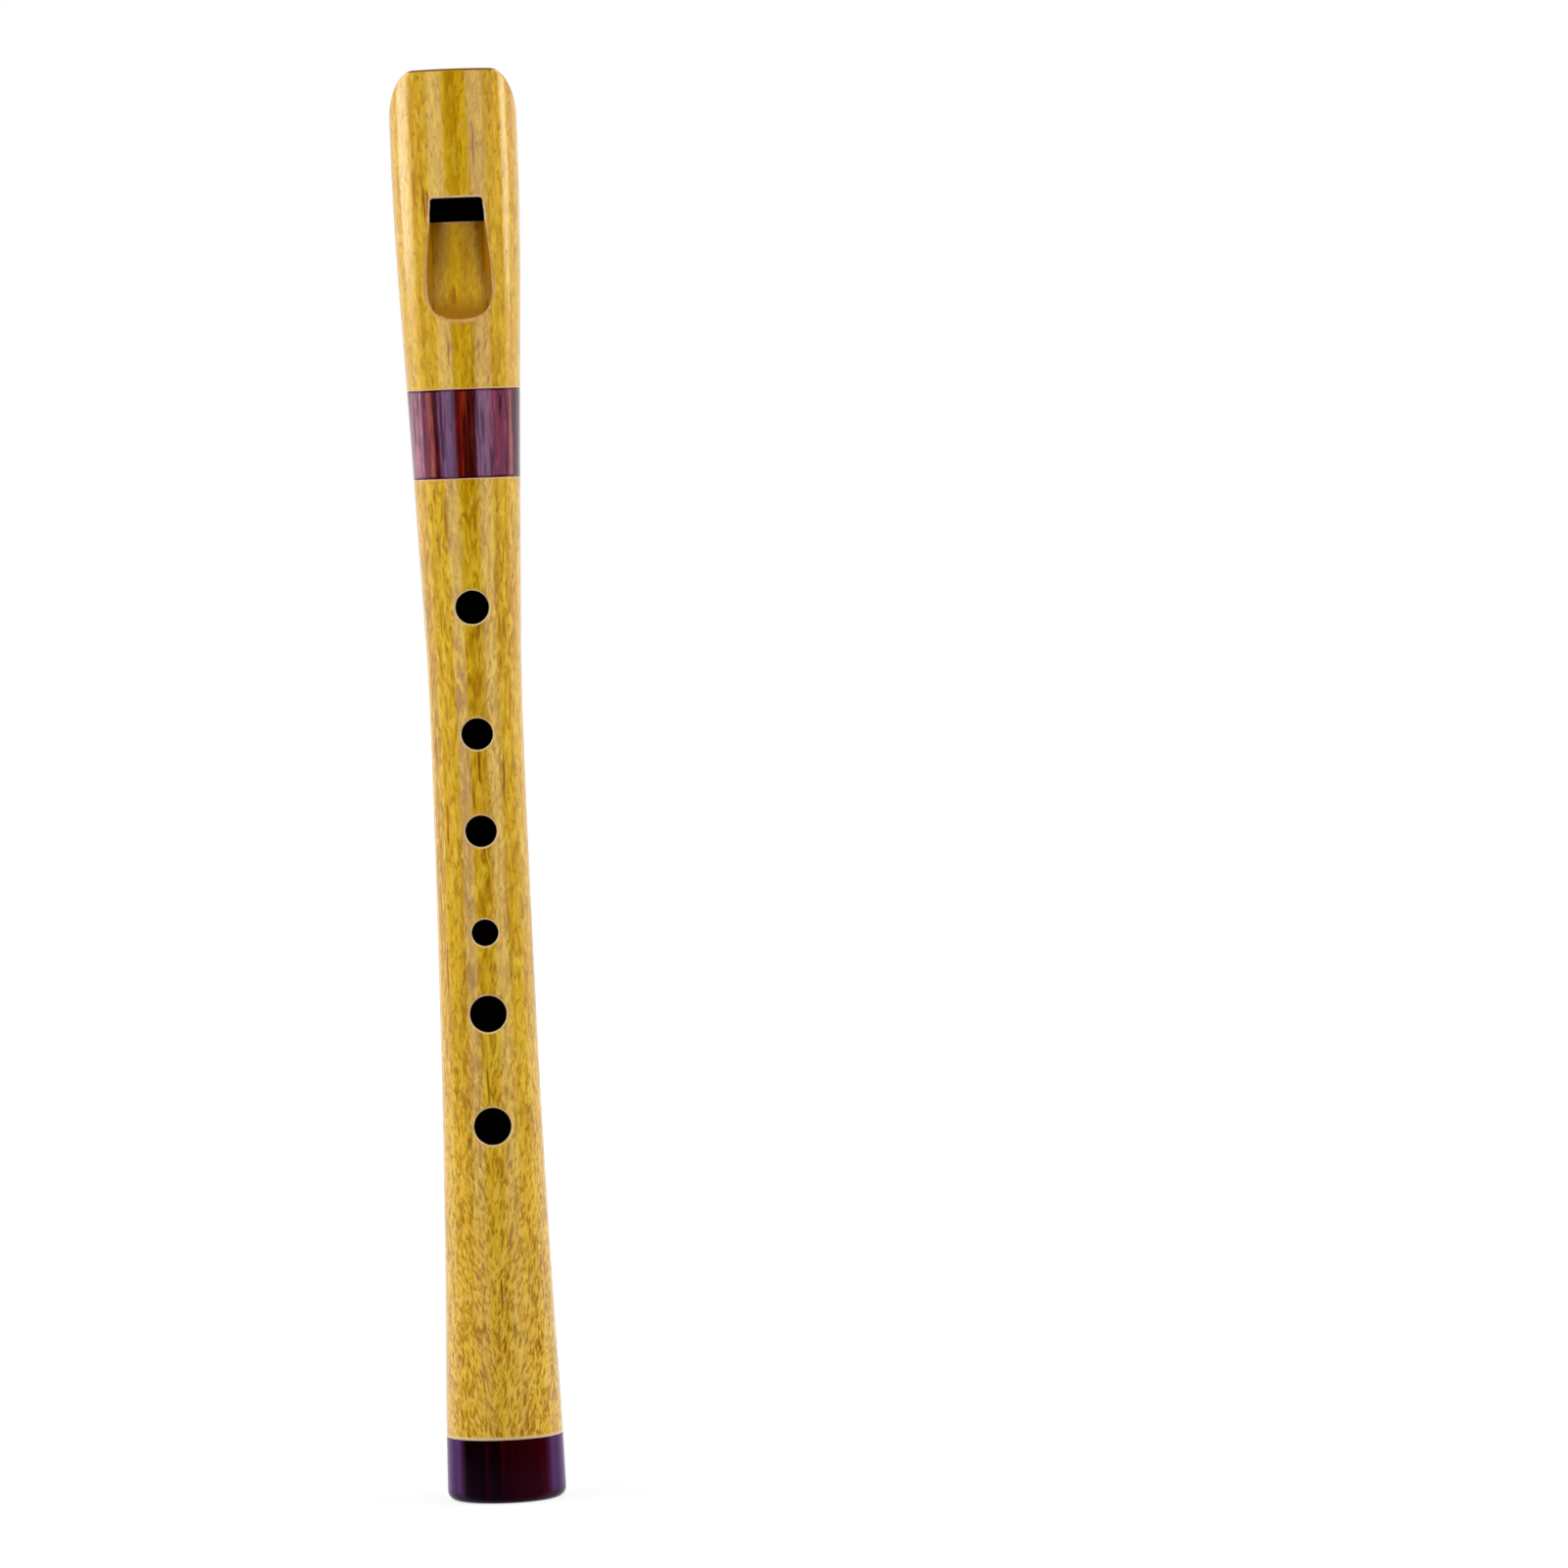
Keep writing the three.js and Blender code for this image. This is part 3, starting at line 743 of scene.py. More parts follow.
def block_wood():
    """Red wood, and lilac-brown painted shade at the heel of the beak's face."""
    r = Recipe("red_block_wood")
    bands = r.noise(r.scaled(r.place, 60, 500, 900), detail=3, rough=0.6)
    tint = r.ramp(bands, [(0.3, shade(84, 18, 32)), (0.5, shade(118, 38, 50)), (0.72, shade(142, 56, 62))])
    from_axis = r.length(r.scaled(r.place, 1, 1, 0))
    # Painted shade and reflection: the face of the block near the heel turns lilac-brown.
    on_face = r.level(from_axis, BLOCK_RADIUS - 0.05 * MM, BLOCK_RADIUS - 0.23 * MM)
    low_down = r.level(r.z, HEAD_TOP - 17 * MM, HEAD_TOP - 19.5 * MM, 0.0, 0.8)
    heel = r.maths("MULTIPLY", low_down, on_face)
    return r.finish(
        Base_Color=r.mix(heel, tint, shade(88, 72, 92)), Roughness=0.45, Specular_IOR_Level=0.3,
    )


BLOCK = block_wood()


# %% Cut edges, bores and cork
def cut_edge(name, darker, paler):
    r = Recipe(name)
    fibre = r.noise(r.stretched(1800, 300))
    return r.finish(
        Base_Color=r.ramp(fibre, [(0.35, darker), (0.65, paler)]), Roughness=0.4, Specular_IOR_Level=0.4,
    )


def bore_wood():
    r = Recipe("bore_wood")
    rings = r.noise(r.stretched(500, 60))
    tint = r.ramp(rings, [(0.3, shade(58, 36, 18)), (0.7, shade(84, 54, 26))])
    return r.finish(Base_Color=tint, Roughness=0.6, Specular_IOR_Level=0.1)


def tenon_cork_finish():
    r = Recipe("tenon_cork_finish")
    cells = r.node("ShaderNodeTexVoronoi", {"Vector": r.place, "Scale": 900.0}).outputs["Distance"]
    flecks = r.noise(r.stretched(1400, 700), detail=3)
    tint = r.ramp(cells, [(0.1, shade(196, 152, 104)), (0.8, shade(168, 122, 76))])
    colour = r.mix(r.level(flecks, 0.62, 0.72, 0.0, 0.8), tint, shade(96, 62, 34))
    return r.finish(Base_Color=colour, Roughness=0.85, Normal=r.bump(cells, 0.4, 0.2 * MM))


# The pale tone of the eased rims is partly bare wood at the cut and partly a painted highlight of the light
# they catch.
EDGE = cut_edge("cut_edge", shade(222, 188, 132), shade(244, 216, 170))
RAMP_EDGE = cut_edge("ramp_edge", shade(204, 146, 62), shade(230, 180, 100))
BARE = cut_edge("bare_wood", shade(206, 152, 70), shade(228, 182, 104))
BORE, CORK = bore_wood(), tenon_cork_finish()
print("materials:", [m.name for m in bpy.data.materials])

# %% [markdown]
# The body is one long tube: a spigot that hides in the foot ring, the waisted outside, and a tenon
# with a groove for its cork at the top. The bore widens towards the foot. The sizes of the hidden
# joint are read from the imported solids.

# %% Body sizes
GLUE_GAP = 0.1 * MM
END_GAP = 0.3 * MM
SEAM_EASE = 0.3 * MM
FOOT_LIP = 4 * MM
BORE_FOOT = 10.4 * MM
BORE_WAIST = 8.2 * MM
BORE_ENTRY = 5 * MM
BORE_FLARE = 0.6 * MM
TENON_CHAMFER = 0.5 * MM
TENON_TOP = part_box("body_tube")[1].z
CORK_LOW, CORK_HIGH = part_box("tenon_cork")[0].z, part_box("tenon_cork")[1].z


def radii_at(node, z, slack=0.02 * MM):
    """Smallest and largest vertex radius of a node at a height."""
    found = [
        math.hypot(v.co.x, v.co.y)
        for v in frame["nodes"][node].data.vertices if abs(v.co.z - z) < slack
    ]
    return min(found), max(found)


FOOT_SPIGOT = radii_at("body_tube", FOOT_LIP + END_GAP)[1]
TENON = radii_at("body_tube", BODY_TOP)[0]
BORE_TOP = radii_at("body_tube", TENON_TOP)[0] - BORE_FLARE
CORK_IN, CORK_OUT = radii_at("tenon_cork", CORK_LOW)
GROOVE = CORK_IN - GLUE_GAP
print("tenon, groove, bore top, foot spigot, mm:",
      [round(v / MM, 2) for v in (TENON, GROOVE, BORE_TOP, FOOT_SPIGOT)])


# %% Turn the body
def eased_outline(low, high, ease_low, ease_high):
    """Outline between two heights with rounded corners at its ends."""
    points = outline_between(low + ease_low, high - ease_high)
    if ease_low:
        points[:1] = arc((radius_at(low + ease_low) - ease_low, low + ease_low), ease_low, -90, 0, 4)
    if ease_high:
        points[-1:] = arc((radius_at(high - ease_high) - ease_high, high - ease_high), ease_high, 0, 90, 4)
    return points


def near_seam(centre, heights):
    return any(abs(centre.z - z) < SEAM_EASE for z in heights)


def under_skin(centre, deeper=0.8 * MM):
    """True well inside the outline: in the bore, and on the spigot and the tenon."""
    return math.hypot(centre.x, centre.y) < radius_at(centre.z) - deeper


def on_tenon(centre):
    """True on the outside of the tenon, which is left as bare wood."""
    above_seam = centre.z > BODY_TOP - SEAM_EASE
    return above_seam and under_skin(centre) and centre.xy.length > BORE_TOP + BORE_FLARE


EDGE_SLOT, BORE_SLOT, BARE_SLOT = 1, 2, 3
body_profile = [
    (BORE_FOOT, FOOT_LIP + END_GAP),
    (FOOT_SPIGOT, FOOT_LIP + END_GAP),
    (FOOT_SPIGOT, FOOT_TOP),
    *eased_outline(FOOT_TOP, BODY_TOP, SEAM_EASE, SEAM_EASE),
    (TENON, BODY_TOP),
    (TENON, CORK_LOW - GLUE_GAP),
    (GROOVE, CORK_LOW - GLUE_GAP),
    (GROOVE, CORK_HIGH + GLUE_GAP),
    (TENON, CORK_HIGH + GLUE_GAP),
    (TENON, TENON_TOP - TENON_CHAMFER),
    (TENON - TENON_CHAMFER, TENON_TOP),
    (BORE_TOP + BORE_FLARE, TENON_TOP),
    (BORE_TOP, TENON_TOP - BORE_ENTRY),
    (BORE_WAIST, WAIST_Z),
]
body_blank = painted(spun(body_profile), EDGE_SLOT, lambda c: near_seam(c, (FOOT_TOP, BODY_TOP)))
painted(body_blank, BORE_SLOT, under_skin)
painted(body_blank, BARE_SLOT, on_tenon)
body = to_object(body_blank, "golden_body", (GOLD, EDGE, BORE, BARE))
print("faces of the turned body:", len(body.data.polygons))

# %% Drill the tone holes and ease their rims
FINGER_HOLES = [(8.2, 0.866), (7.7, 0.7345), (7.7, 0.6335), (6.5, 0.528), (9.0, 0.4435), (9.1, 0.3265)]
THUMB_HOLE = (7.8, 0.9055)
VENT = (9.3, 0.1265)
VENT_SPREAD = 24.2
HOLE_EASE = 0.42 * MM

holes = [(diameter, share, 0) for diameter, share in FINGER_HOLES]
holes += [(*THUMB_HOLE, 180), (*VENT, 180 - VENT_SPREAD), (*VENT, 180 + VENT_SPREAD)]
mouths = [(diameter * MM / 2, turn, FOOT_TOP + BODY_HEIGHT * share) for diameter, share, turn in holes]
for apart in (mouths[:-1], mouths[-1:]):
    cut(body, joined(painted(drill(*mouth), BORE_SLOT) for mouth in apart))
ease(body, HOLE_EASE, lambda place: EDGE_SLOT, [hole_rim(*mouth) for mouth in mouths])
dressed(body, "body", "body_wood", "body_tube")

# %% [markdown]
# The dark rings are the same turned outline with less wood behind it. Each is glued over a spigot,
# so it is spun with its counterbore, and its edges are eased less than the golden ones, because
# the joint has to look tight.

# %% Foot ring, socket ring and cork
FOOT_EDGE = 2.4 * MM
FOOT_CHAMFER = 0.3 * MM
RING_EASE = 0.12 * MM
FOOT_SEAT = radii_at("foot_ring", FOOT_TOP)[0]
foot_low_edge = (radius_at(FOOT_EDGE) - FOOT_EDGE, FOOT_EDGE)
foot_profile = [
    (BORE_FOOT + FOOT_CHAMFER, 0),
    *arc(foot_low_edge, FOOT_EDGE, -90, 0, 12)[:-1],
    *eased_outline(FOOT_EDGE, FOOT_TOP, 0, RING_EASE),
    (FOOT_SEAT, FOOT_TOP),
    (FOOT_SEAT, FOOT_LIP),
    (BORE_FOOT, FOOT_LIP),
    (BORE_FOOT, FOOT_CHAMFER),
]
SOCKET_LIP = 5 * MM
SOCKET_CHAMFER = 0.4 * MM
SOCKET = radii_at("socket_ring", BODY_TOP + SOCKET_CHAMFER)[0]
RING_SEAT = radii_at("socket_ring", RING_TOP)[0]
ring_profile = [
    (SOCKET + SOCKET_CHAMFER, BODY_TOP),
    *eased_outline(BODY_TOP, RING_TOP, RING_EASE, RING_EASE),
    (RING_SEAT, RING_TOP),
    (RING_SEAT, BODY_TOP + SOCKET_LIP),
    (SOCKET, BODY_TOP + SOCKET_LIP),
    (SOCKET, BODY_TOP + SOCKET_CHAMFER),
]
cork_profile = [(CORK_IN, CORK_LOW), (CORK_OUT, CORK_LOW), (CORK_OUT, CORK_HIGH), (CORK_IN, CORK_HIGH)]

dressed(to_object(spun(foot_profile), "dark_foot", (FOOT,)), "body", "ring_wood", "foot_ring")
dressed(to_object(spun(ring_profile), "dark_socket_ring", (RING,)), "head", "ring_wood", "socket_ring")
dressed(to_object(spun(cork_profile), "cork_sleeve", (CORK,)), "body", "cork", "tenon_cork")

# %% [markdown]
# The head is the voice. From the top down it holds the beak, the seat for the block, the windway
# above the block, the window, and the ramp that thins to the labium, the edge that makes the
# sound. Its skin is shaped first, with the beak and the rounded mouth end.
#
# Each cut at the mouth end is a distance and a direction: how far outside it a point lies. Two of
# them are joined with a fillet of exact radius, and where they run into each other at a flat
# angle the fillet fades out by itself. Rays from inside the wood then find the skin.

# %% Cuts at the mouth end
CORNER_ACROSS = 6.4 * MM
CORNER_DOWN = 12 * MM
BEAK_TIP = 8.2 * MM
BEAK_DROP = 21.8 * MM
BEAK_ARC = 45.5 * MM


def turned_cut(place):
    """Distance from the turned outline, and its normal."""
    return math.hypot(place.x, place.y) - radius_at(place.z), outward(place)


def mouth_cut(place):
    """The front view of the mouth end: a flat top with quarter ellipses at its corners."""
    across, up = abs(place.x) - (WIDEST - CORNER_ACROSS), place.z - (HEAD_TOP - CORNER_DOWN)
    if across <= 0:
        return place.z - HEAD_TOP, Vector((0, 0, 1))
    slant = Vector((across / CORNER_ACROSS ** 2, 0, max(up, 0) / CORNER_DOWN ** 2))
    over = (across / CORNER_ACROSS) ** 2 + (max(up, 0) / CORNER_DOWN) ** 2 - 1
    distance = over / 2 / slant.length
    slant.x = math.copysign(slant.x, place.x)
    return distance, slant.normalized()


def beak_centre():
    """Centre, in (y, z), of the arc through the tip's back edge and the heel."""
    tip = Vector((BEAK_TIP - TIP_RADIUS, HEAD_TOP))
    heel = Vector((radius_at(HEAD_TOP - BEAK_DROP), HEAD_TOP - BEAK_DROP))
    chord = heel - tip
    away = Vector((-chord.y, chord.x)).normalized()
    return (tip + heel) / 2 + away * math.sqrt(BEAK_ARC ** 2 - (chord.length / 2) ** 2)


BEAK_CENTRE = beak_centre()


def beak_cut(place):
    """The hollow behind the mouth end: a drum across the instrument."""
    to_centre = BEAK_CENTRE - Vector((place.y, place.z))
    normal = to_centre.normalized()
    return BEAK_ARC - to_centre.length, Vector((0, normal.x, normal.y))


def filleted(first, second, radius):
    """Two (distance, normal) cuts joined by a round edge."""
    (d1, n1), (d2, n2) = first, second
    lean = n1.dot(n2)
    a, b = d1 + radius, d2 + radius
    spread = max(1 - lean * lean, 1e-9)
    share1, share2 = (a - b * lean) / spread, (b - a * lean) / spread
    if share1 <= 0 or share2 <= 0:
        return max(first, second, key=lambda side: side[0])
    reach = n1 * share1 + n2 * share2
    return reach.length - radius, reach.normalized()


TIP_EDGE = 0.9 * MM
BEAK_EDGE = 0.6 * MM


def head_skin(place):
    """How far outside the head's skin a point lies."""
    outside = filleted(turned_cut(place), mouth_cut(place), TIP_EDGE)
    return filleted(outside, beak_cut(place), BEAK_EDGE)[0]


print("beak centre y, z mm:", [round(v / MM, 2) for v in BEAK_CENTRE])

# %% Sections of the head's skin
HALF_COLUMNS = 72
PROBES = 120
HALVINGS = 22
BEAK_LOW = HEAD_TOP - BEAK_DROP - 1.5 * MM


def mirrored(point):
    """The same place on the other side of the plane of symmetry."""
    return Vector((-point.x, point.y, point.z))


def middle_at(z):
    """A place well inside the wood at a height, on the plane of symmetry."""
    back = BEAK_CENTRE.x - math.sqrt(BEAK_ARC ** 2 - (z - BEAK_CENTRE.y) ** 2)
    return Vector((0, (min(back, radius_at(z)) - radius_at(z)) / 2, z))


def skin_point(z, angle):
    """The skin at a height, in the direction of an angle from the front."""
    start = middle_at(z)
    ray = Vector((math.sin(angle), -math.cos(angle), 0))
    near, far = 0.0, 2 * WIDEST
    for _ in range(HALVINGS):
        half = (near + far) / 2
        near, far = (half, far) if head_skin(start + ray * half) < 0 else (near, half)
    return start + ray * far


def section(z):
    """A closed row of skin points, closer together where the skin turns."""
    probes = [skin_point(z, math.pi * i / PROBES) for i in range(PROBES + 1)]
    steps = [b - a for a, b in zip(probes, probes[1:])]
    length = sum(step.length for step in steps)
    weights = []
    for i, step in enumerate(steps):
        before = steps[i - 1] if i else step
        weights.append(0.5 * step.length / length + 0.5 * before.angle(step, 0) / math.pi)
    total, passed, k, angles = sum(weights), 0.0, 0, []
    for i in range(HALF_COLUMNS + 1):
        aim = total * i / HALF_COLUMNS
        while k < len(weights) - 1 and passed + weights[k] < aim:
            passed += weights[k]
            k += 1
        angles.append(math.pi * (k + min((aim - passed) / weights[k], 1)) / PROBES)
    right = [skin_point(z, angle) for angle in angles]
    right[0].x = right[-1].x = 0
    return [*right, *map(mirrored, reversed(right[:-1]))]


def ring_section(radius, z):
    """A round section with as many points."""
    turns = [math.tau * i / (2 * HALF_COLUMNS) for i in range(2 * HALF_COLUMNS)]
    points = [Vector((radius * math.sin(a), -radius * math.cos(a), z)) for a in turns]
    return [*points, points[0]]


print("points from the front to the back of a section:", HALF_COLUMNS + 1)

# %% Shape the head's skin
SPIGOT_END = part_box("head_tube")[0].z
HEAD_SPIGOT = radii_at("head_tube", SPIGOT_END)[1]
TOP_ROWS = 7
BEAK_ROW = 0.6 * MM
END_GRAIN_DEPTH = 0.5 * MM
FACE_TOLERANCE = 0.12 * MM
TOP_GAP = 0.001 * MM
CUT_SLOT, RAMP_EDGE_SLOT, BEAK_SLOT = 3, 4, 5

lower = eased_outline(RING_TOP, BEAK_LOW, SEAM_EASE, 0)
rows = [ring_section(r, z) for r, z in [(HEAD_SPIGOT, SPIGOT_END), (HEAD_SPIGOT, RING_TOP), *lower]]
beak_rows = round((HEAD_TOP - TIP_EDGE - BEAK_LOW) / BEAK_ROW)
for i in range(1, beak_rows + 1):
    rows.append(section(BEAK_LOW + (HEAD_TOP - TIP_EDGE - BEAK_LOW) * i / beak_rows))
for i in range(1, TOP_ROWS + 1):
    lift = math.sin(math.pi / 2 * i / TOP_ROWS) * (TIP_EDGE - TOP_GAP)
    rows.append(section(HEAD_TOP - TIP_EDGE + lift))
for point in rows[-1]:
    point.z = HEAD_TOP
head_blank = painted(sheet(rows), EDGE_SLOT, lambda c: near_seam(c, (RING_TOP,)))
painted(head_blank, BEAK_SLOT, lambda c: c.z > BEAK_LOW and abs(beak_cut(c)[0]) < FACE_TOLERANCE)
painted(head_blank, CUT_SLOT, lambda c: c.z > HEAD_TOP - END_GRAIN_DEPTH)
head = to_object(head_blank, "golden_head", (GOLD, EDGE, BORE, CUT, RAMP_EDGE, BEAK))
print("rows of the head's skin:", len(rows))

# %% [markdown]
# Now the head is hollowed and voiced in a maker's order: bore and block seat, windway, window,
# ramp. The ramp's floor keeps one width, its side walls lean out to the rim, and a round scoop
# ends it.

# %% Bore the head
SHOULDER = TENON_TOP + END_GAP
THROAT = BORE_TOP + BORE_FLARE
THROAT_LENGTH = 6 * MM
TAPER_LENGTH = 8 * MM
OVERRUN = 2 * MM
bore_profile = [
    (0, SPIGOT_END - OVERRUN),
    (SOCKET, SPIGOT_END - OVERRUN),
    (SOCKET, SHOULDER),
    (THROAT, SHOULDER),
    (THROAT, SHOULDER + THROAT_LENGTH),
    (CHAMBER, SHOULDER + THROAT_LENGTH + TAPER_LENGTH),
    (CHAMBER, WINDOW_TOP),
    (SEAT, WINDOW_TOP),
    (SEAT, HEAD_TOP + OVERRUN),
    (0, HEAD_TOP + OVERRUN),
]
cut(head, painted(spun(bore_profile), BORE_SLOT))
print("head bored, throat and chamber mm:", [round(r / MM, 2) for r in (THROAT, CHAMBER)])

# %% Cut the windway and the window
FLOOR_RADIUS = BLOCK_RADIUS - 0.33 * MM
EXIT_WIDTH, EXIT_HEIGHT = 12.7 * MM, 1.3 * MM
ENTRY_WIDTH, ENTRY_HEIGHT = 13.8 * MM, 2.0 * MM
LABIUM_WIDTH = 13.4 * MM
WINDOW_CORNER = 0.8 * MM
LEVEL_TOLERANCE = 0.01 * MM


def arch(radius, width, z, steps=20):
    """Points of an arch about the axis, seen from above."""
    half = math.asin(width / 2 / radius)
    angles = [half - 2 * half * i / steps for i in range(steps + 1)]
    return [(radius * math.sin(a), -radius * math.cos(a), z) for a in angles]


def windway_row(radius, width, z):
    """An arch closed by a chord inside the bore."""
    start = (width / 2, -CHAMBER / 2, z)
    return [start, *arch(radius, width, z), (-width / 2, -CHAMBER / 2, z), start]


def window_outline(steps=6):
    """Front view of the window: rounded upper corners, sides that spread to the labium."""
    top, corner = EXIT_WIDTH / 2, WINDOW_CORNER
    bend = arc((top - corner, WINDOW_TOP - corner), corner, 0, 90, steps)
    right = [(LABIUM_WIDTH / 2, LABIUM_Z), *bend]
    return right + [(-x, z) for x, z in reversed(right)]


cut(head, painted(sheet([
    windway_row(FLOOR_RADIUS + EXIT_HEIGHT, EXIT_WIDTH, WINDOW_TOP - WINDOW_HEIGHT / 2),
    windway_row(FLOOR_RADIUS + EXIT_HEIGHT, EXIT_WIDTH, WINDOW_TOP),
    windway_row(FLOOR_RADIUS + ENTRY_HEIGHT, ENTRY_WIDTH, HEAD_TOP),
    windway_row(FLOOR_RADIUS + ENTRY_HEIGHT, ENTRY_WIDTH, HEAD_TOP + OVERRUN),
]), BORE_SLOT))
window_cutter = painted(prism(window_outline(), -WIDEST - OVERRUN, -CHAMBER / 2), BORE_SLOT)
painted(window_cutter, EDGE_SLOT, lambda c: c.z < LABIUM_Z + LEVEL_TOLERANCE)
cut(head, window_cutter)

# %% Cut the ramp and its scoop
RAMP_SLOPE = math.radians(3.5)
RAMP_LENGTH = 19 * MM
RAMP_FLOOR = 12.5 * MM
RAMP_END = 16.8 * MM
SCOOP = 7 * MM
LABIUM_RADIUS = CHAMBER + 0.4 * MM
ARCH_END = 0.45
SLOPE_ROWS, SCOOP_ROWS, FLOOR_COLUMNS, WALL_COLUMNS = 30, 22, 14, 8
LEAST_RISE = 0.6 * MM
ROUND_FROM = 16.5 * MM
ROUND_TO = 24.5 * MM
LABIUM_EDGE = 0.5 * MM
LABIUM_DIP = 0.22 * MM


def ramp_row(below, depth, arched, spread):
    """Half of a ramp section, from the middle out: the floor, then a wall that leans to the rim."""
    z = LABIUM_Z - below
    widening = math.sin(math.pi / 2 * min(max(below / RAMP_LENGTH, 0), 1))
    rounding = min(max((below - ROUND_FROM) / (ROUND_TO - ROUND_FROM), 0), 0.98)
    rim = (LABIUM_WIDTH + (RAMP_END - LABIUM_WIDTH) * widening) / 2 * math.sqrt(1 - rounding ** 2)
    floor_half = min(RAMP_FLOOR / 2 + (rim - RAMP_FLOOR / 2) * spread, rim)
    points = []
    for i in range(FLOOR_COLUMNS + 1):
        x = floor_half * i / FLOOR_COLUMNS
        sag = LABIUM_RADIUS - math.sqrt(LABIUM_RADIUS ** 2 - x * x)
        points.append(Vector((x, arched * sag - depth, z)))
    edge = -points[-1].y
    rise = max(math.sqrt(radius_at(z) ** 2 - rim ** 2) - edge, LEAST_RISE)
    for i in range(1, WALL_COLUMNS + 1):
        climb = (WIDEST + 2 * OVERRUN - edge) * (i / WALL_COLUMNS) ** 2
        points.append(Vector((floor_half + (rim - floor_half) * climb / rise, -edge - climb, z)))
    return points


def ramp_sections():
    """Sections from above the labium down to where the scoop leaves the wood."""
    yield ramp_row(-WINDOW_HEIGHT / 2, LABIUM_RADIUS, 1, 0)
    yield ramp_row(0, LABIUM_RADIUS - LABIUM_DIP, 1, 0)
    yield ramp_row(LABIUM_EDGE, LABIUM_RADIUS + LABIUM_EDGE * math.tan(RAMP_SLOPE), 1, 0)
    for i in range(1, SLOPE_ROWS + 1):
        share = i / SLOPE_ROWS
        depth = LABIUM_RADIUS + RAMP_LENGTH * share * math.tan(RAMP_SLOPE)
        yield ramp_row(RAMP_LENGTH * share, depth, 1 - (1 - ARCH_END) * share, 0)
    start = LABIUM_RADIUS + RAMP_LENGTH * math.tan(RAMP_SLOPE)
    steepest = math.acos(math.cos(RAMP_SLOPE) - (WIDEST + OVERRUN / 2 - start) / SCOOP)
    for i in range(1, SCOOP_ROWS + 1):
        share = i / SCOOP_ROWS
        angle = RAMP_SLOPE + (steepest - RAMP_SLOPE) * share
        below = RAMP_LENGTH + SCOOP * (math.sin(angle) - math.sin(RAMP_SLOPE))
        depth = start + SCOOP * (math.cos(RAMP_SLOPE) - math.cos(angle))
        yield ramp_row(below, depth, ARCH_END * (1 - min(2.5 * share, 1)), min(3 * share, 1))


def full_row(half_row):
    """Mirrors a section, and closes it far in front of the wood."""
    across = [*map(mirrored, reversed(half_row[1:])), *half_row]
    front = [Vector((p.x, -WIDEST - 3 * OVERRUN, p.z)) for p in (across[-1], across[0])]
    return [*across, *front, across[0]]


sections = list(ramp_sections())
ramp = painted(sheet([full_row(row) for row in sections]), CUT_SLOT)
painted(ramp, RAMP_EDGE_SLOT, lambda c: c.z > LABIUM_Z - LABIUM_EDGE and abs(c.x) < RAMP_FLOOR / 2)
cut(head, ramp)

# %% Ease the rim round window, ramp and scoop
VOICE_EASE = 0.55 * MM
SCOOP_RAYS = 40
RAY_HALVINGS = 26


def on_ramp(column, row):
    """A place on the ramp's surface, between its grid points too."""
    c, r = min(int(column), len(sections[0]) - 2), min(int(row), len(sections) - 2)
    near, far = (sections[k][c].lerp(sections[k][c + 1], column - c) for k in (r, r + 1))
    return near.lerp(far, row - r)


def leaves_wood(start, end):
    """Where a line over the ramp's grid leaves the wood: the place and the wall's normal."""
    near, far = 0.0, 1.0
    for _ in range(RAY_HALVINGS):
        half = (near + far) / 2
        place = on_ramp(*start.lerp(end, half))
        outside = math.hypot(place.x, place.y) > radius_at(place.z)
        near, far = (near, half) if outside else (half, far)
    spot, nudge = start.lerp(end, far), 0.02
    across = on_ramp(spot.x, spot.y) - on_ramp(spot.x - nudge, spot.y)
    down = on_ramp(spot.x, spot.y) - on_ramp(spot.x, spot.y - nudge)
    normal = across.cross(down).normalized()
    return place, normal if normal.y < 0 else -normal


def window_rim():
    """The window's sides and top, from the right end of the labium to the left one."""
    outline = [Vector(point) for point in window_outline()]
    for k, spot in enumerate(outline):
        along = outline[min(k + 1, len(outline) - 1)] - outline[max(k - 1, 0)]
        inwards = Vector((-along.y, along.x)).normalized()
        place = Vector((spot.x, -math.sqrt(radius_at(spot.y) ** 2 - spot.x ** 2), spot.y))
        yield place, Vector((inwards.x, 0, inwards.y))


def ramp_rim():
    """The ramp's right rim, from the labium down to the middle of the scoop."""
    last_column, last_row = len(sections[0]) - 1, len(sections) - 1
    for row in range(2, SLOPE_ROWS + 2):
        yield leaves_wood(Vector((0, row)), Vector((last_column, row)))
    for i in range(SCOOP_RAYS + 1):
        angle = math.pi / 2 * i / SCOOP_RAYS
        start = Vector((0, SLOPE_ROWS + 2))
        ray = Vector((last_column * math.cos(angle), (last_row - start.y) * math.sin(angle)))
        yield leaves_wood(start, start + ray)


right_rim = list(ramp_rim())
left_rim = [(mirrored(place), mirrored(normal)) for place, normal in right_rim[:-1]]
voice_rim = [*window_rim(), *left_rim, *reversed(right_rim)]
ease(head, VOICE_EASE, lambda place: EDGE_SLOT if place.z > LABIUM_Z else RAMP_EDGE_SLOT, [voice_rim])
print("scoop ends at mm:", round(right_rim[-1][0].z / MM, 2))
dressed(head, "head", "body_wood", "head_tube")

# %% [markdown]
# The block is the plug that closes the mouth end. Its front is flattened into the windway's floor
# and its back follows the beak. It is cut with the same drum as the head, so that both woods lie
# in one surface.

# %% Turn and cut the block
BLOCK_CHAMFER = 0.4 * MM


def channel_row(radius, width, z):
    """Waste in front of the windway's floor."""
    front = -(BLOCK_RADIUS + OVERRUN)
    start = (width / 2, front, z)
    return [start, *arch(radius, width, z), (-width / 2, front, z), start]


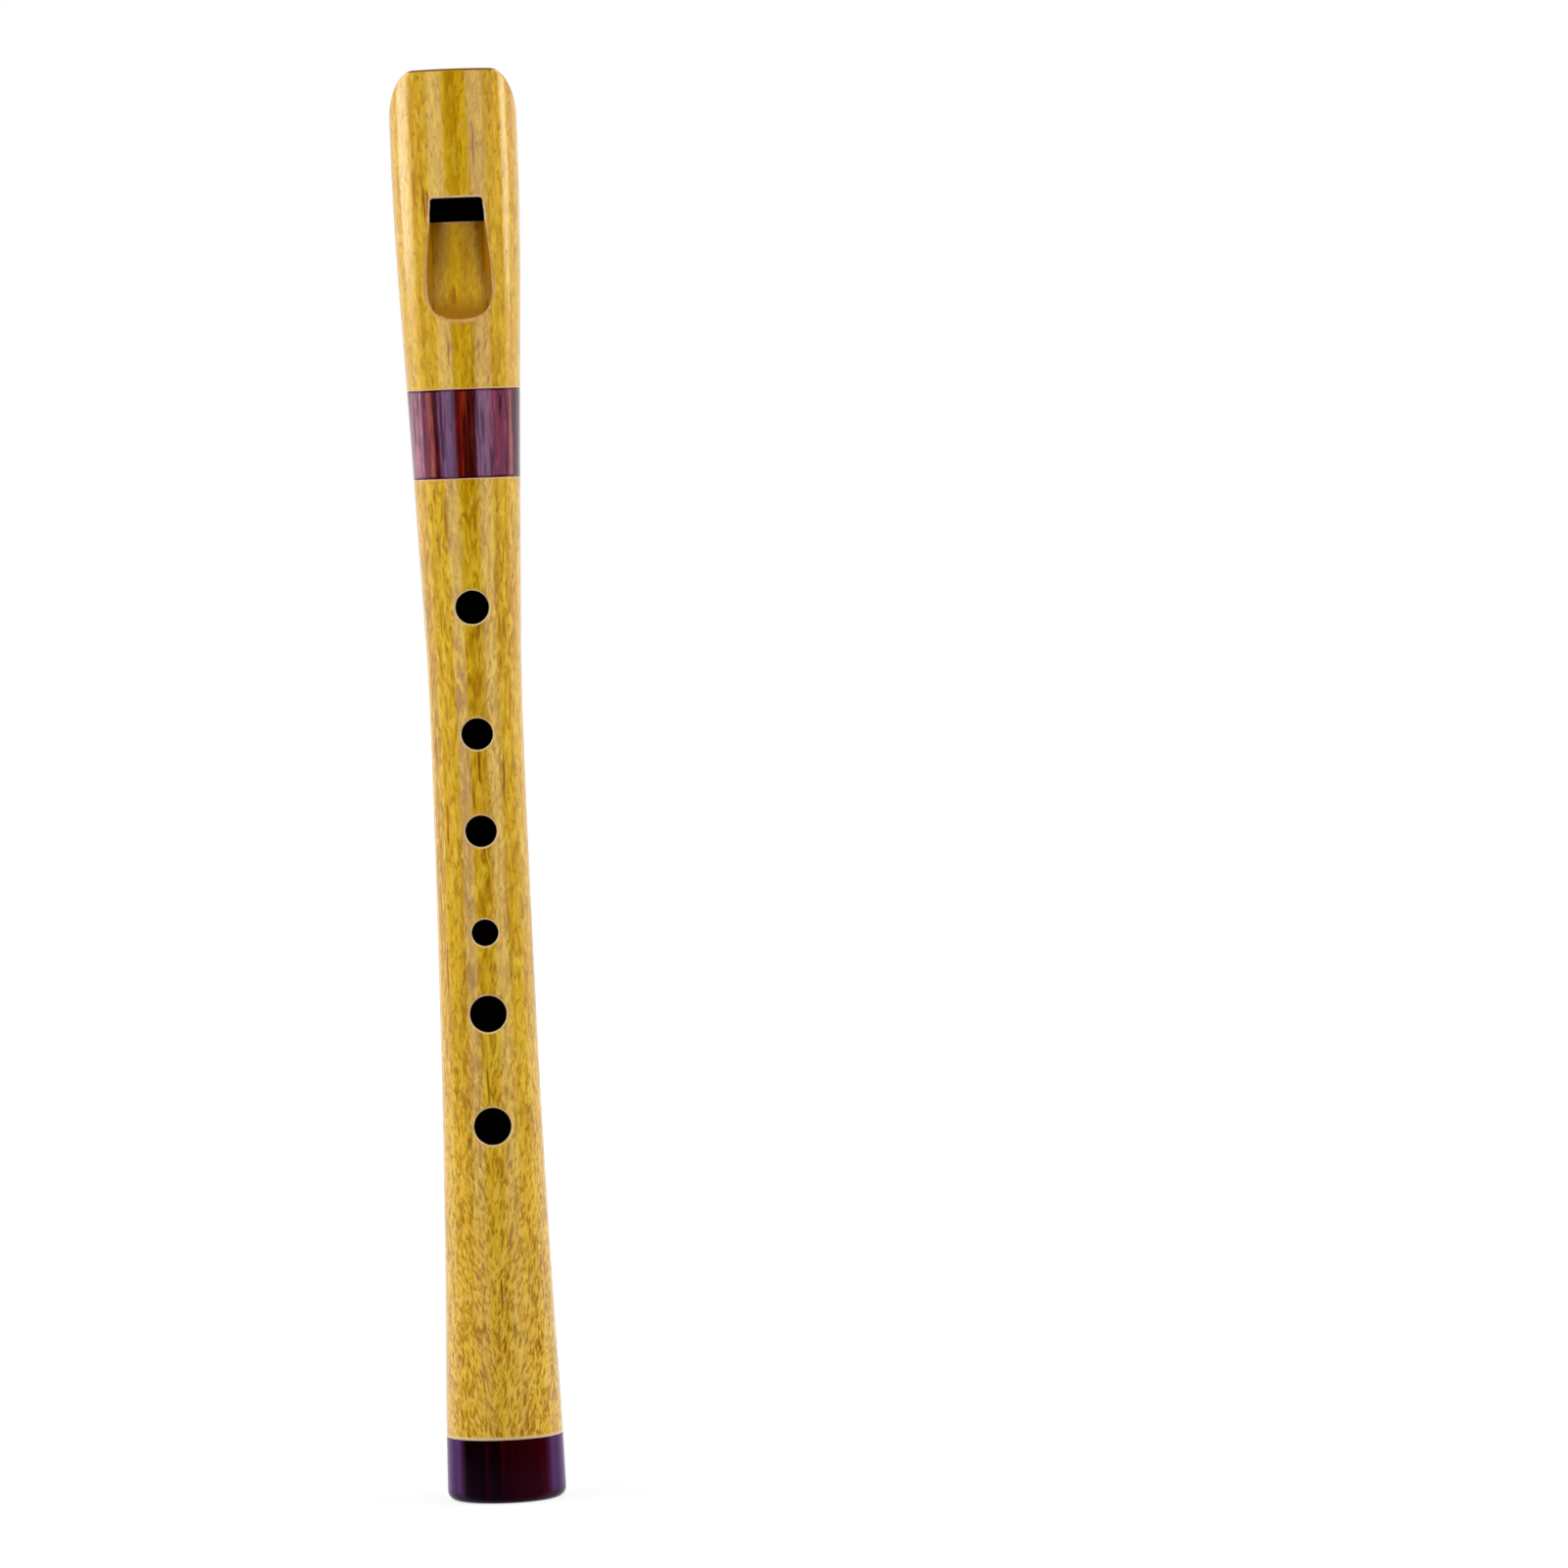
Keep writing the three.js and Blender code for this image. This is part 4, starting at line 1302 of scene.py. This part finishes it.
block_profile = [(0, WINDOW_TOP), (BLOCK_RADIUS, WINDOW_TOP), (BLOCK_RADIUS, HEAD_TOP), (0, HEAD_TOP)]
block = to_object(spun(block_profile), "red_block", (BLOCK,))
cut(block, sheet([
    channel_row(FLOOR_RADIUS - 2 * BLOCK_CHAMFER, EXIT_WIDTH, WINDOW_TOP - BLOCK_CHAMFER),
    channel_row(FLOOR_RADIUS, EXIT_WIDTH, WINDOW_TOP + BLOCK_CHAMFER),
    channel_row(FLOOR_RADIUS, ENTRY_WIDTH, HEAD_TOP),
    channel_row(FLOOR_RADIUS, ENTRY_WIDTH, HEAD_TOP + OVERRUN),
]))
drum = bmesh.new()
bmesh.ops.create_cone(
    drum, cap_ends=True, segments=480, radius1=BEAK_ARC, radius2=BEAK_ARC, depth=4 * WIDEST,
    matrix=Matrix.Translation((0, *BEAK_CENTRE)) @ Matrix.Rotation(math.pi / 2, 4, "Y"),
)
cut(block, drum)
dressed(block, "block", "block_wood", "block")

# %% [markdown]
# The photograph is taken from about two metres with a long lens, level with the dark ring, and
# the instrument leans a little in the frame. Two points of the instrument, its top and its foot,
# have a known place in the picture, and that is enough to turn a camera: the two directions in
# the world have to fall on the two directions in the picture.

# %% Camera
PICTURE = 1600
FOCAL_PIXELS = 8743
EYE = Vector((0, -2.10, 0.249))
TOP_FRONT, TOP_PIXEL = Vector((0, -15.3 * MM, HEAD_TOP)), Vector((460, 69.8))
FOOT_FRONT, FOOT_PIXEL = Vector((0, -12.6 * MM, 0)), Vector((518.1, 1534.2))


def pixel_direction(pixel):
    """Direction of a pixel in the camera's own axes."""
    return Vector((pixel.x - PICTURE / 2, PICTURE / 2 - pixel.y, -FOCAL_PIXELS)).normalized()


def basis(first, second):
    """Axes built on two directions: their middle, their normal and a third."""
    middle = (first + second).normalized()
    normal = first.cross(second).normalized()
    return Matrix((middle, normal, middle.cross(normal))).transposed()


camera_data = bpy.data.cameras.new("camera")
camera_data.sensor_width = 36
camera_data.lens = FOCAL_PIXELS / PICTURE * camera_data.sensor_width
camera = bpy.data.objects.new("camera", camera_data)
bpy.context.scene.collection.objects.link(camera)
to_top, to_foot = (TOP_FRONT - EYE).normalized(), (FOOT_FRONT - EYE).normalized()
seen_top, seen_foot = pixel_direction(TOP_PIXEL), pixel_direction(FOOT_PIXEL)
turn = basis(to_top, to_foot) @ basis(seen_top, seen_foot).inverted()
camera.matrix_world = Matrix.Translation(EYE) @ turn.to_4x4()
bpy.context.scene.camera = camera
print("lens mm:", round(camera_data.lens, 1), "angle between the points, world and picture:",
      round(math.degrees(to_top.angle(to_foot)), 3), round(math.degrees(seen_top.angle(seen_foot)), 3))

# %% [markdown]
# Gloss is only visible through what it reflects. The room is plain white, and shows as pale edges
# where the lacquer is seen at a flat angle. A dark curtain behind the camera keeps the middle of
# the tube deep, and a dark cloth on the floor in front keeps the lower end deep too. Tall soft
# boxes stand on both sides, and each has one task. Lamps light the colour of the wood and don't
# show in the gloss. Reflectors show in the gloss and light nothing: the first two draw the pale
# stripes beside the centre line, and the last two, higher up and behind, the bright edges.

# %% Soft boxes and reflectors
BOX_DISTANCE = 1.3


def soft_box(name, angle, width, level, low=0.03, high=1.5):
    """An upright lamp that faces the instrument; angle 0 is the camera's side."""
    data = bpy.data.lights.new(name, "AREA")
    data.shape = "RECTANGLE"
    data.size, data.size_y = width, high - low
    data.energy = level * math.pi * width * (high - low)
    light = bpy.data.objects.new(name, data)
    side = math.radians(angle)
    light.location = (math.sin(side) * BOX_DISTANCE, -math.cos(side) * BOX_DISTANCE, (low + high) / 2)
    light.rotation_euler = (math.radians(90), 0, side)
    light.visible_camera = False
    bpy.context.scene.collection.objects.link(light)
    return light


def lamp(*settings):
    """A soft box for colour alone."""
    soft_box(*settings).visible_glossy = False


def reflector(*settings):
    """A soft box for gloss alone."""
    soft_box(*settings).visible_diffuse = False


reflector("stripe_left", -34.5, 0.66, 2.6)
reflector("stripe_right", 41, 0.74, 2.4)
lamp("key_left", -42, 0.62, 1.1)
lamp("key_right", 42, 0.62, 1.1)
lamp("fill_left", -68, 0.6, 2.5)
lamp("fill_right", 68, 0.6, 2.6)
lamp("side_left", -85, 0.6, 2.65)
lamp("side_right", 85, 0.6, 2.1)
reflector("highlight_left", -104, 0.70, 4.4, 0.27, 1.4)
reflector("highlight_right", 102, 0.34, 4.4, 0.27, 1.4)
print("lamps and reflectors:", len(bpy.data.lights))

# %% Dark curtain and cloth
CURTAIN = 2.6


def half_round(radius, half_angle=97, steps=48):
    """An open arc of edges on the camera's side, and its bmesh."""
    bm = bmesh.new()
    path = arc((0, 0), radius, -90 - half_angle, -90 + half_angle, steps)
    verts = [bm.verts.new((x, y, 0)) for x, y in path]
    return bm, [bm.edges.new(pair) for pair in zip(verts, verts[1:])]


def extruded(bm, edges):
    """Extrudes edges and gives back the new vertices."""
    grown = bmesh.ops.extrude_edge_only(bm, edges=edges)["geom"]
    return [v for v in grown if isinstance(v, bmesh.types.BMVert)]


def curtain_cloth():
    r = Recipe("curtain_cloth")
    return r.finish(Base_Color=(0.02, 0.02, 0.02, 1), Roughness=1.0, Specular_IOR_Level=0.0)


CLOTH = curtain_cloth()
curtain, edges = half_round(CURTAIN)
bmesh.ops.translate(curtain, verts=extruded(curtain, edges), vec=(0, 0, 3.2))
hanging = to_object(curtain, "dark_curtain", (CLOTH,))
hanging.visible_camera = False

cloth, edges = half_round(0.1)
bmesh.ops.scale(cloth, verts=extruded(cloth, edges), vec=(CURTAIN / 0.1, CURTAIN / 0.1, 1))
bmesh.ops.translate(cloth, verts=cloth.verts, vec=(0, 0, 2 * MM))
lying = to_object(cloth, "dark_floor_cloth", (CLOTH,))
for seen_by in ("camera", "diffuse", "transmission", "shadow"):
    setattr(lying, "visible_" + seen_by, False)
print("curtain and cloth, radius m:", CURTAIN)

# %% [markdown]
# The photograph's background is pure white, and so is what the lacquer mirrors. Extra light would
# bleach the wood, so the floor and the room are white only for rays that are seen, and plainer for
# rays that light. Close to the instrument the floor glows a little less, so that it keeps a shadow.

# %% White floor
FLOOR_SIZE = 12


def is_seen(nodes):
    """1 for rays from the camera and for those in gloss or glass, so that all see one background."""
    rays = nodes.node("ShaderNodeLightPath").outputs
    in_gloss = nodes.maths("MAXIMUM", rays["Is Camera Ray"], rays["Is Glossy Ray"])
    return nodes.maths("MAXIMUM", in_gloss, rays["Is Transmission Ray"])


def floor_finish():
    """Pale floor that takes a soft shadow; seen directly, it glows, and further off it is plain white."""
    r = Recipe("floor_white")
    seen = is_seen(r)
    return r.finish(
        Base_Color=r.mix(seen, (0.5, 0.5, 0.5, 1), (0.2, 0.2, 0.2, 1)), Roughness=1.0,
        Specular_IOR_Level=0.0, Emission_Color=WHITE,
        Emission_Strength=r.maths("MULTIPLY", seen, r.level(r.length(r.place), 0.3, 1.5, 0.84, 1.0)),
    )


floor_bm = bmesh.new()
bmesh.ops.create_grid(floor_bm, x_segments=1, y_segments=1, size=FLOOR_SIZE)
floor = to_object(floor_bm, "white_floor", (floor_finish(),))
print("floor, m from the middle to an edge:", FLOOR_SIZE)

# %% White room and view settings
ROOM_LIGHT = 0.7
world = bpy.data.worlds.new("white_room")
bpy.context.scene.world = world
world.use_nodes = True
room = Nodes(world.node_tree)
background = world.node_tree.nodes["Background"].inputs
room.feed(background["Color"], WHITE)
room.feed(background["Strength"], room.level(is_seen(room), 0.0, 1.0, ROOM_LIGHT, 1.0))
bpy.context.scene.view_settings.view_transform = "Standard"
print("light of the white room:", ROOM_LIGHT)
